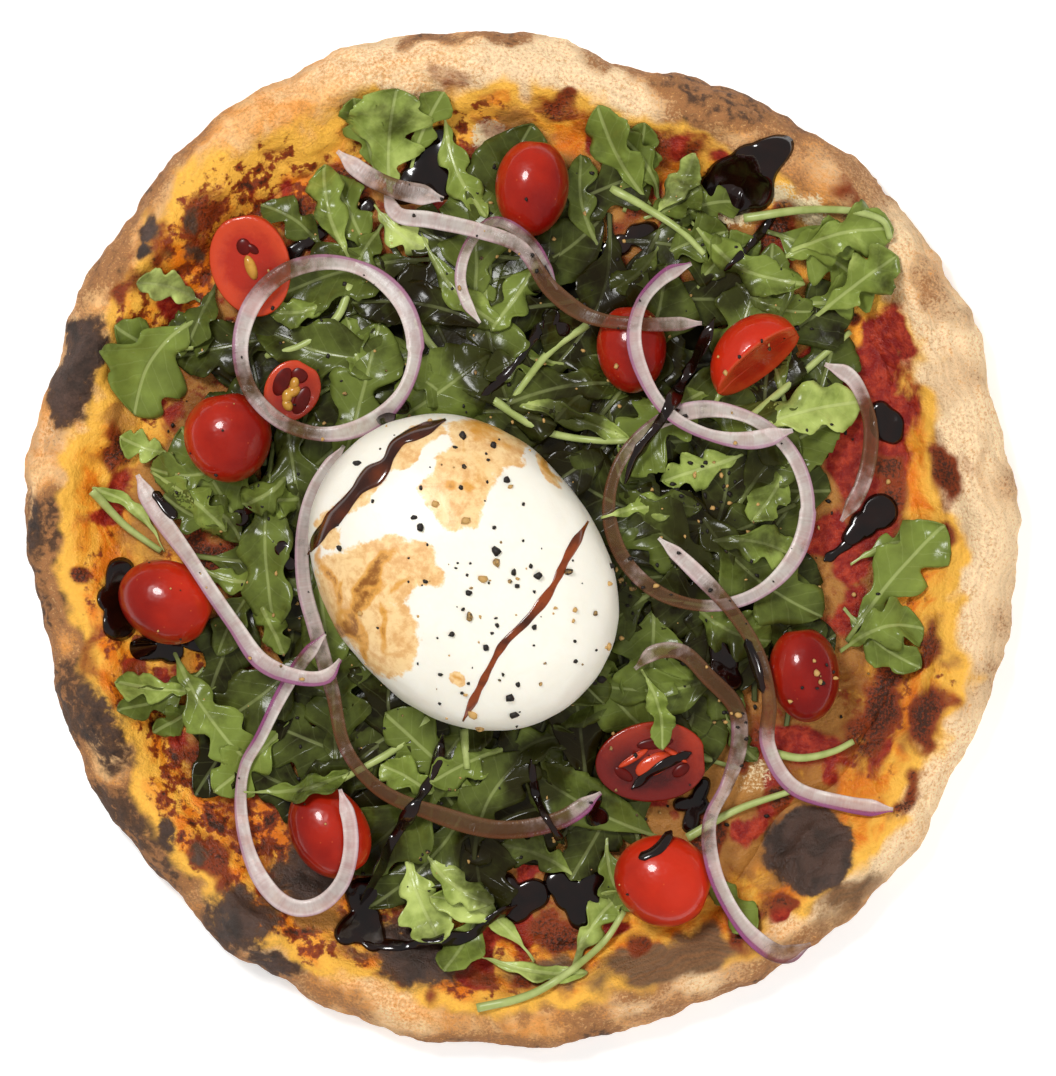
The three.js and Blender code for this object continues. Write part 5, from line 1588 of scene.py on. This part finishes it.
# Thick glaze: pools of (x, y, radius) drops that run together, and strands as places with a width.
GLAZE_POOLS = (
    ((68, 110, 7.6), (61, 107, 6.8), (74, 115, 5), (78.5, 117.5, 3.2), (70, 103, 5), (63, 101.5, 5),
        (54, 104, 3.4)),
    ((-28, 113, 7), (-25, 119, 5), (-33, 107, 5), (-24, 106, 4.5), (-36, 103, 3.5)),
    ((109, 34, 5.2), (107, 38, 3.4), (111, 31, 3)), ((107, 8, 5.5), (102, 4, 4.4), (98, 0, 3)),
    ((-49, -107, 5), (-48, -115, 5.4), (-45, -120, 4), (-53, -118, 4), (-42, -104, 4)),
    ((-3, -110, 6), (3, -107, 5), (-9, -113, 4), (-6, -104, 4)),
    ((14, -107, 5.4), (20, -109, 4.6), (10, -103, 4.4), (21, -102, 4), (17, -114, 4)),
    ((-121, -10, 4.5), (-123, -18, 4.5), (-121, -26, 5)),
    ((-114, -33, 4.5), (-106, -34, 4), (-97, -31, 4), (-93, -25, 3)),
    ((62, 78, 4), (60, 72, 3.4), (57, 69, 3)), ((60, -38, 4.4), (58, -33, 3), (63, -43, 3)),
    ((34, 91, 3.6), (29, 88, 3.4), (24, 86, 3), (38, 93, 2.6)), ((22, -84, 3.6), (21, -78, 2.6)),
    ((52, -80, 3.6), (50, -86, 3), (54, -74, 2.6), (47, -80, 2.4)),
    ((-65, 90, 3.6), (-70, 85, 3), (-61, 92, 2.6)), ((-50, 95, 3), (-47, 100, 2.6)),
    ((-41, 36, 3), (-36, 39, 2.4)), ((-72, -3, 2.8), (-70, -8, 2.4)), ((4, 76, 3), (8, 80, 2.4)),
    ((42, 36, 2.4), (45, 39, 2)), ((-85, 6, 2.8), (-82, 9, 2)), ((-96, 62, 2.2), (-99, 66, 2)),
    ((8, 66, 2.8), (12, 62, 2.4)),
)
POOL_CLEAR = 12.0
GLAZE_STRANDS = (
    (((57, 66), (52, 55), (46, 44), (40, 34), (33, 24), (30, 16)), 3.6),
    (((104, 6), (98, -1), (90, -7)), 3.4),
    (((-48, -121), (-36, -122), (-24, -120), (-16, -119), (-10, -114), (-2, -110)), 3.4),
    (((-24, -58), (-27, -70), (-34, -82), (-40, -92), (-44, -101), (-49, -110)), 3.6),
    (((-13, 42), (-7, 47), (0, 55), (6, 65)), 3), (((50, -64), (43, -67), (38, -70), (32, -75)), 3),
    (((34, -95), (40, -92), (44, -87)), 3), (((-111, 14), (-108, 10), (-104, 6)), 3.2),
    (((2, -66), (4, -78), (12, -92)), 2.6), (((76, 98), (68, 88), (60, 80)), 2.6),
    (((66, -30), (69, -38), (71, -46)), 3),
)
BURRATA_STRIPES = (
    # places, width, thickness and how thin the glaze looks
    (((-23, 35), (-30, 31.5), (-37, 28), (-41, 21), (-47, 16), (-53, 9), (-60, 1),
        (-64, -5)), 5.0, 0.9, 0.5),
    (((19, 5), (13, -5), (8, -15), (1, -24), (-6, -31), (-10, -38), (-14, -46),
        (-18, -54)), 2.6, 0.4, 1.9),
)


# Heights of the glaze in mm: how a pool sinks in the salad, rises, reaches down and stays off the ground.
POOL_SINK = 0.4
POOL_RISE = 1.3
POOL_DEPTH = 1.2
POOL_GAP = 0.25
STRAND_RISE = 0.9
STRAND_DEPTH = 0.5
STRAND_STEP = 0.7
DRIP_THINNESS = 0.06
# How often the ground under pools and strands is softened, and how it falls off beside what is high.
POOL_SOFTNESS = 14
BASE_SOFTNESS = 8
STRAND_SOFTNESS = 2
STRAND_SLOPE = 0.8
STRAND_REACH = 4


def on_leaves(pool):
    """Whether a pool lies on the heap and not beside it."""
    x, y, _ = pool[0]
    return math.hypot(x, y) < heap_radius(bearing_of(x, y)) - POOL_CLEAR


def pool_reach(pool, middle, ways):
    """How far a pool of drops reaches from its middle in each direction."""
    reach = np.full(len(ways), 0.8)
    for x, y, r in pool:
        off = np.array([x, y]) - middle
        along = ways @ off
        inside = r * r - off @ off + along ** 2
        reach = np.maximum(reach, np.where(inside > 0, along + np.sqrt(np.maximum(inside, 0)), 0))
    return np.mean([np.roll(reach, k) for k in range(-6, 7)], axis=0)


def soften(values, passes):
    out = values
    for _ in range(passes):
        out = (2 * out + sum(np.roll(out, way, axis) for axis in (0, 1) for way in (1, -1))) / 6
    return out


class PIZZA_OT_glaze(bpy.types.Operator):
    """Drips the balsamic glaze over everything"""

    bl_idname = "pizza.glaze"
    bl_label = "Balsamic glaze"

    def execute(self, context):
        if "top" not in laid:
            raise RuntimeError("The rocket is heaped before the glaze is poured")
        material = balsamic_glaze(context.scene.pizza_toppings)
        low = HeightMap(soften(laid["top"].values, POOL_SOFTNESS) - POOL_SINK)
        base = laid["base"].values
        base = HeightMap(np.maximum(soften(base, BASE_SOFTNESS), base))
        bridged = -spread_limit(-laid["top"].values, STRAND_SLOPE, STRAND_REACH)
        top = HeightMap(soften(bridged, STRAND_SOFTNESS))
        self.bm = bmesh.new()
        for pool in GLAZE_POOLS:
            self.pour(pool, low if on_leaves(pool) else base)
        for through, width in GLAZE_STRANDS:
            self.trickle(through, width, STRAND_RISE, top.at)
        self.finish("glaze_drips", material, DRIP_THINNESS)
        for number, (through, width, thick, thin) in enumerate(BURRATA_STRIPES):
            self.bm = bmesh.new()
            self.trickle(through, width, thick, burrata_top)
            self.finish(f"glaze_on_burrata_{number + 1}", material, thin)
        return {"FINISHED"}

    def pour(self, pool, ground):
        """A flat pool with a rounded edge that lies on the heap."""
        rounded = [(DISC * v, DISC * (1 - v ** 4) ** 0.5) for v in np.linspace(1, 0, 10)]
        mesh = to_mesh(spun([(0, 0), (DISC, 0), *rounded], 84), "pool")
        p = points_of(mesh)
        xy = np.array(pool)[:, :2]
        sizes = np.array(pool)[:, 2]
        middle = (xy * sizes[:, None]).sum(axis=0) / sizes.sum()
        turns = np.linspace(-math.pi, math.pi, 181)
        reach = pool_reach(pool, middle, np.stack([np.cos(turns), np.sin(turns)], axis=1))
        share = np.hypot(p[:, 0], p[:, 1]) / DISC
        a = np.arctan2(p[:, 1], p[:, 0])
        reach = np.interp(a, turns, reach)
        x = middle[0] + share * reach * np.cos(a)
        y = middle[1] + share * reach * np.sin(a)
        ground = ground.at(x, y) + POOL_GAP
        z = ground + np.where(p[:, 2] > 0.01, p[:, 2] / DISC * POOL_RISE, -POOL_DEPTH * (share < 0.99))
        self.join(mesh, np.stack([x, y, z], axis=1))

    def trickle(self, through, width, thick, ground):
        """A strand that runs over whatever is below it."""
        places, sides, run = route(through, False, STRAND_STEP)
        t = np.linspace(0, 1, len(places))
        ends = END_WIDTH + (1 - END_WIDTH) * ease(0, 0.1, np.minimum(t, 1 - t))
        wide = width * ends * (1 + 0.4 * lumps(flat(run, run * 0 + width), 7, 9, 2))
        level, high = np.zeros(len(places)), np.ones(len(places))
        bm, facts = band(places, sides, level, wide, high, False, 1, 16)
        mesh = to_mesh(bm, "strand")
        p = points_of(mesh)
        up = facts[:, 2]
        p[:, 2] = ground(p[:, 0], p[:, 1]) + np.where(up > 0, thick * up, STRAND_DEPTH * up)
        self.join(mesh, p)

    def join(self, mesh, points):
        """Moves a mesh to its points and adds it to the glaze that is being made."""
        set_points(mesh, points)
        self.bm.from_mesh(mesh)
        bpy.data.meshes.remove(mesh)

    def finish(self, name, material, thin):
        """Paints the glaze with how thin it looks and adds it as a piece."""
        bmesh.ops.recalc_face_normals(self.bm, faces=self.bm.faces)
        mesh = to_mesh(self.bm, name)
        paint(mesh, "thin", thin * (0.8 + 0.6 * lumps(points_of(mesh), 6, 23, 2)))
        add_piece(mesh, name, [material])


# Coarse pepper grains on the burrata that can be told apart.
PEPPER = (
    (-18, 30), (-9, 27), (-49, 22), (-5, 17), (-32, 6), (-17, 5), (-26, 10), (-8, -4), (-8, -7),
    (-3, -10), (-2, -14), (-12, -12), (-16, -16), (4, -11), (13, -10), (15, -21), (21, -22), (-16, -23),
    (-21, -28), (3, -26), (-11, -32), (25, -32), (23, -42), (-4, -47), (-3, -52), (-15, -52), (-13, -56),
    (-48, -22), (-54, -3), (-30, 3), (-4, 15),
)


# Heaps of pepper on the salad: x, y, spread and number of grains. Then the finer grains on the cheese,
# by number and by middle and spread each way, and loose ones by number and reach.
PEPPER_HEAPS = ((54, 13, 6, 30), (31, -12, 5, 16), (62, -52, 6, 14), (88, -43, 4, 8))
CHEESE_GRAINS = 26
CHEESE_X = (-8, 20)
CHEESE_Y = (-16, 18)
LOOSE_GRAINS = 400
LOOSE_REACH = 112
PEPPER_SEED = 17
# Smallest and largest half sizes of the grains.
COARSE_SIZES = (1.0, 1.7)
CHEESE_SIZES = (0.3, 0.9)
HEAP_SIZES = (0.5, 1.1)
LOOSE_SIZES = (0.25, 0.85)


class PIZZA_OT_pepper(bpy.types.Operator):
    """Grinds pepper over the cheese and the salad"""

    bl_idname = "pizza.pepper"
    bl_label = "Pepper"

    def execute(self, context):
        if "top" not in laid:
            raise RuntimeError("The rocket is heaped before the pepper is ground")
        random = np.random.default_rng(PEPPER_SEED)
        spots = [(x, y, random.uniform(*COARSE_SIZES)) for x, y in PEPPER]
        for _ in range(CHEESE_GRAINS):
            x, y = random.normal(*CHEESE_X), random.normal(*CHEESE_Y)
            spots.append((x, y, random.uniform(*CHEESE_SIZES)))
        for x, y, wide, count in PEPPER_HEAPS:
            spots += [(*random.normal((x, y), wide), random.uniform(*HEAP_SIZES)) for _ in range(count)]
        for _ in range(LOOSE_GRAINS):
            a, reach = random.uniform(0, math.tau), LOOSE_REACH * math.sqrt(random.uniform(0, 1))
            spots.append((reach * math.cos(a), reach * math.sin(a), random.uniform(*LOOSE_SIZES)))
        xs, ys = (np.array([spot[k] for spot in spots]) for k in (0, 1))
        dx, dy = xs - BURRATA_MIDDLE[0], ys - BURRATA_MIDDLE[1]
        on_cheese = np.hypot(dx, dy) < 0.97 * burrata_radius(bearing_of(dx, dy))
        heights = np.where(on_cheese, burrata_top(xs, ys), laid["top"].at(xs, ys) + 0.3)
        bm = bmesh.new()
        tones = []
        for (x, y, r), z in zip(spots, heights):
            grain = bmesh.ops.create_icosphere(bm, subdivisions=1, radius=1)["verts"]
            stretch = random.uniform(0.7, 1.3, 3)
            for v in grain:
                rough = random.uniform(0.6, 1.2)
                shape = (v.co.x * stretch[0], v.co.y * stretch[1], v.co.z * 0.8 * stretch[2])
                off = Vector(shape) * r * rough
                v.co = (Vector((x, y, z + 0.25 * r)) + off) * MM
            tones += [random.uniform(0, 1.05)] * len(grain)
        mesh = to_mesh(bm, "pepper")
        paint(mesh, "tone", np.array(tones))
        add_piece(mesh, "ground_pepper", [ground_pepper(context.scene.pizza_toppings)])
        return {"FINISHED"}


# The stage, in metres: table, lamps as place and size, and camera.
TABLE_HALF = 3
TABLE_DROP = 0.0004
KEY_LAMP = ((-0.45, 0.5, 1.1), 0.36)
FILL_LAMP = ((0.6, -0.5, 1.0), 1.6)
SENSOR_WIDTH = 36
FOCUS_HEIGHT = 0.008
CAMERA_SHIFT = 0.0012
CLIP_END = 20


class PIZZA_OT_stage(bpy.types.Operator):
    """Sets the table, the light and the camera above it"""

    bl_idname = "pizza.stage"
    bl_label = "Stage"

    def execute(self, context):
        settings = context.scene.pizza_stage
        bm = bmesh.new()
        bmesh.ops.create_grid(bm, x_segments=8, y_segments=8, size=TABLE_HALF)
        mesh = to_mesh(bm, "table")
        for v in mesh.vertices:
            v.co.z = -TABLE_DROP
        table = bpy.data.objects.new("table", mesh)
        mesh.materials.append(pale_table(settings))
        context.scene.collection.objects.link(table)
        for name, place, size, watts in (
            ("key", *KEY_LAMP, settings.key), ("fill", *FILL_LAMP, settings.fill),
        ):
            data = bpy.data.lights.new(name, "AREA")
            data.shape = "DISK"
            data.size = size
            data.energy = watts
            lamp = bpy.data.objects.new(name, data)
            lamp.location = place
            lamp.rotation_euler = (-Vector(place)).to_track_quat("-Z", "Y").to_euler()
            lamp.visible_glossy = name == "key"
            context.scene.collection.objects.link(lamp)
        world = bpy.data.worlds.new("room")
        world.use_nodes = True
        world.node_tree.nodes["Background"].inputs["Color"].default_value = (1, 1, 1, 1)
        world.node_tree.nodes["Background"].inputs["Strength"].default_value = settings.sky
        context.scene.world = world
        context.scene.view_settings.view_transform = "Standard"
        lens = bpy.data.cameras.new("camera")
        lens.sensor_width = SENSOR_WIDTH
        lens.lens = SENSOR_WIDTH * (settings.height - FOCUS_HEIGHT) / settings.view
        lens.clip_end = CLIP_END
        camera = bpy.data.objects.new("camera", lens)
        camera.location = (CAMERA_SHIFT, 0, settings.height)
        context.scene.collection.objects.link(camera)
        context.scene.camera = camera
        return {"FINISHED"}


OPERATORS = (
    PIZZA_OT_crust, PIZZA_OT_filling, PIZZA_OT_tomatoes, PIZZA_OT_onions, PIZZA_OT_burrata, PIZZA_OT_rocket,
    PIZZA_OT_glaze, PIZZA_OT_pepper, PIZZA_OT_stage,
)
SETTINGS = {
    "pizza_crust": CrustSettings, "pizza_salad": SaladSettings, "pizza_toppings": ToppingSettings,
    "pizza_stage": StageSettings,
}


class PIZZA_PT_sidebar(bpy.types.Panel):
    """Lists the pizza's pieces and their settings"""

    bl_idname = "PIZZA_PT_sidebar"
    bl_label = "Pizza"
    bl_space_type = "VIEW_3D"
    bl_region_type = "UI"
    bl_category = "Pizza"

    def draw(self, context):
        for name in SETTINGS:
            group = getattr(context.scene, name)
            for key in group.bl_rna.properties.keys():
                if key not in ("rna_type", "name"):
                    self.layout.prop(group, key)
        for operator in OPERATORS:
            self.layout.operator(operator.bl_idname)


def register():
    for kind in (*SETTINGS.values(), *OPERATORS, PIZZA_PT_sidebar):
        bpy.utils.register_class(kind)
    for name, kind in SETTINGS.items():
        setattr(bpy.types.Scene, name, PointerProperty(type=kind))


def unregister():
    for name in SETTINGS:
        delattr(bpy.types.Scene, name)
    for kind in (PIZZA_PT_sidebar, *reversed(OPERATORS), *SETTINGS.values()):
        bpy.utils.unregister_class(kind)


def main():
    register()
    bpy.ops.pizza.crust()
    bpy.ops.pizza.filling()
    bpy.ops.pizza.tomatoes()
    bpy.ops.pizza.onions()
    bpy.ops.pizza.burrata()
    bpy.ops.pizza.rocket()
    bpy.ops.pizza.glaze()
    bpy.ops.pizza.pepper()
    bpy.ops.pizza.stage()


if __name__ == "__main__":
    main()
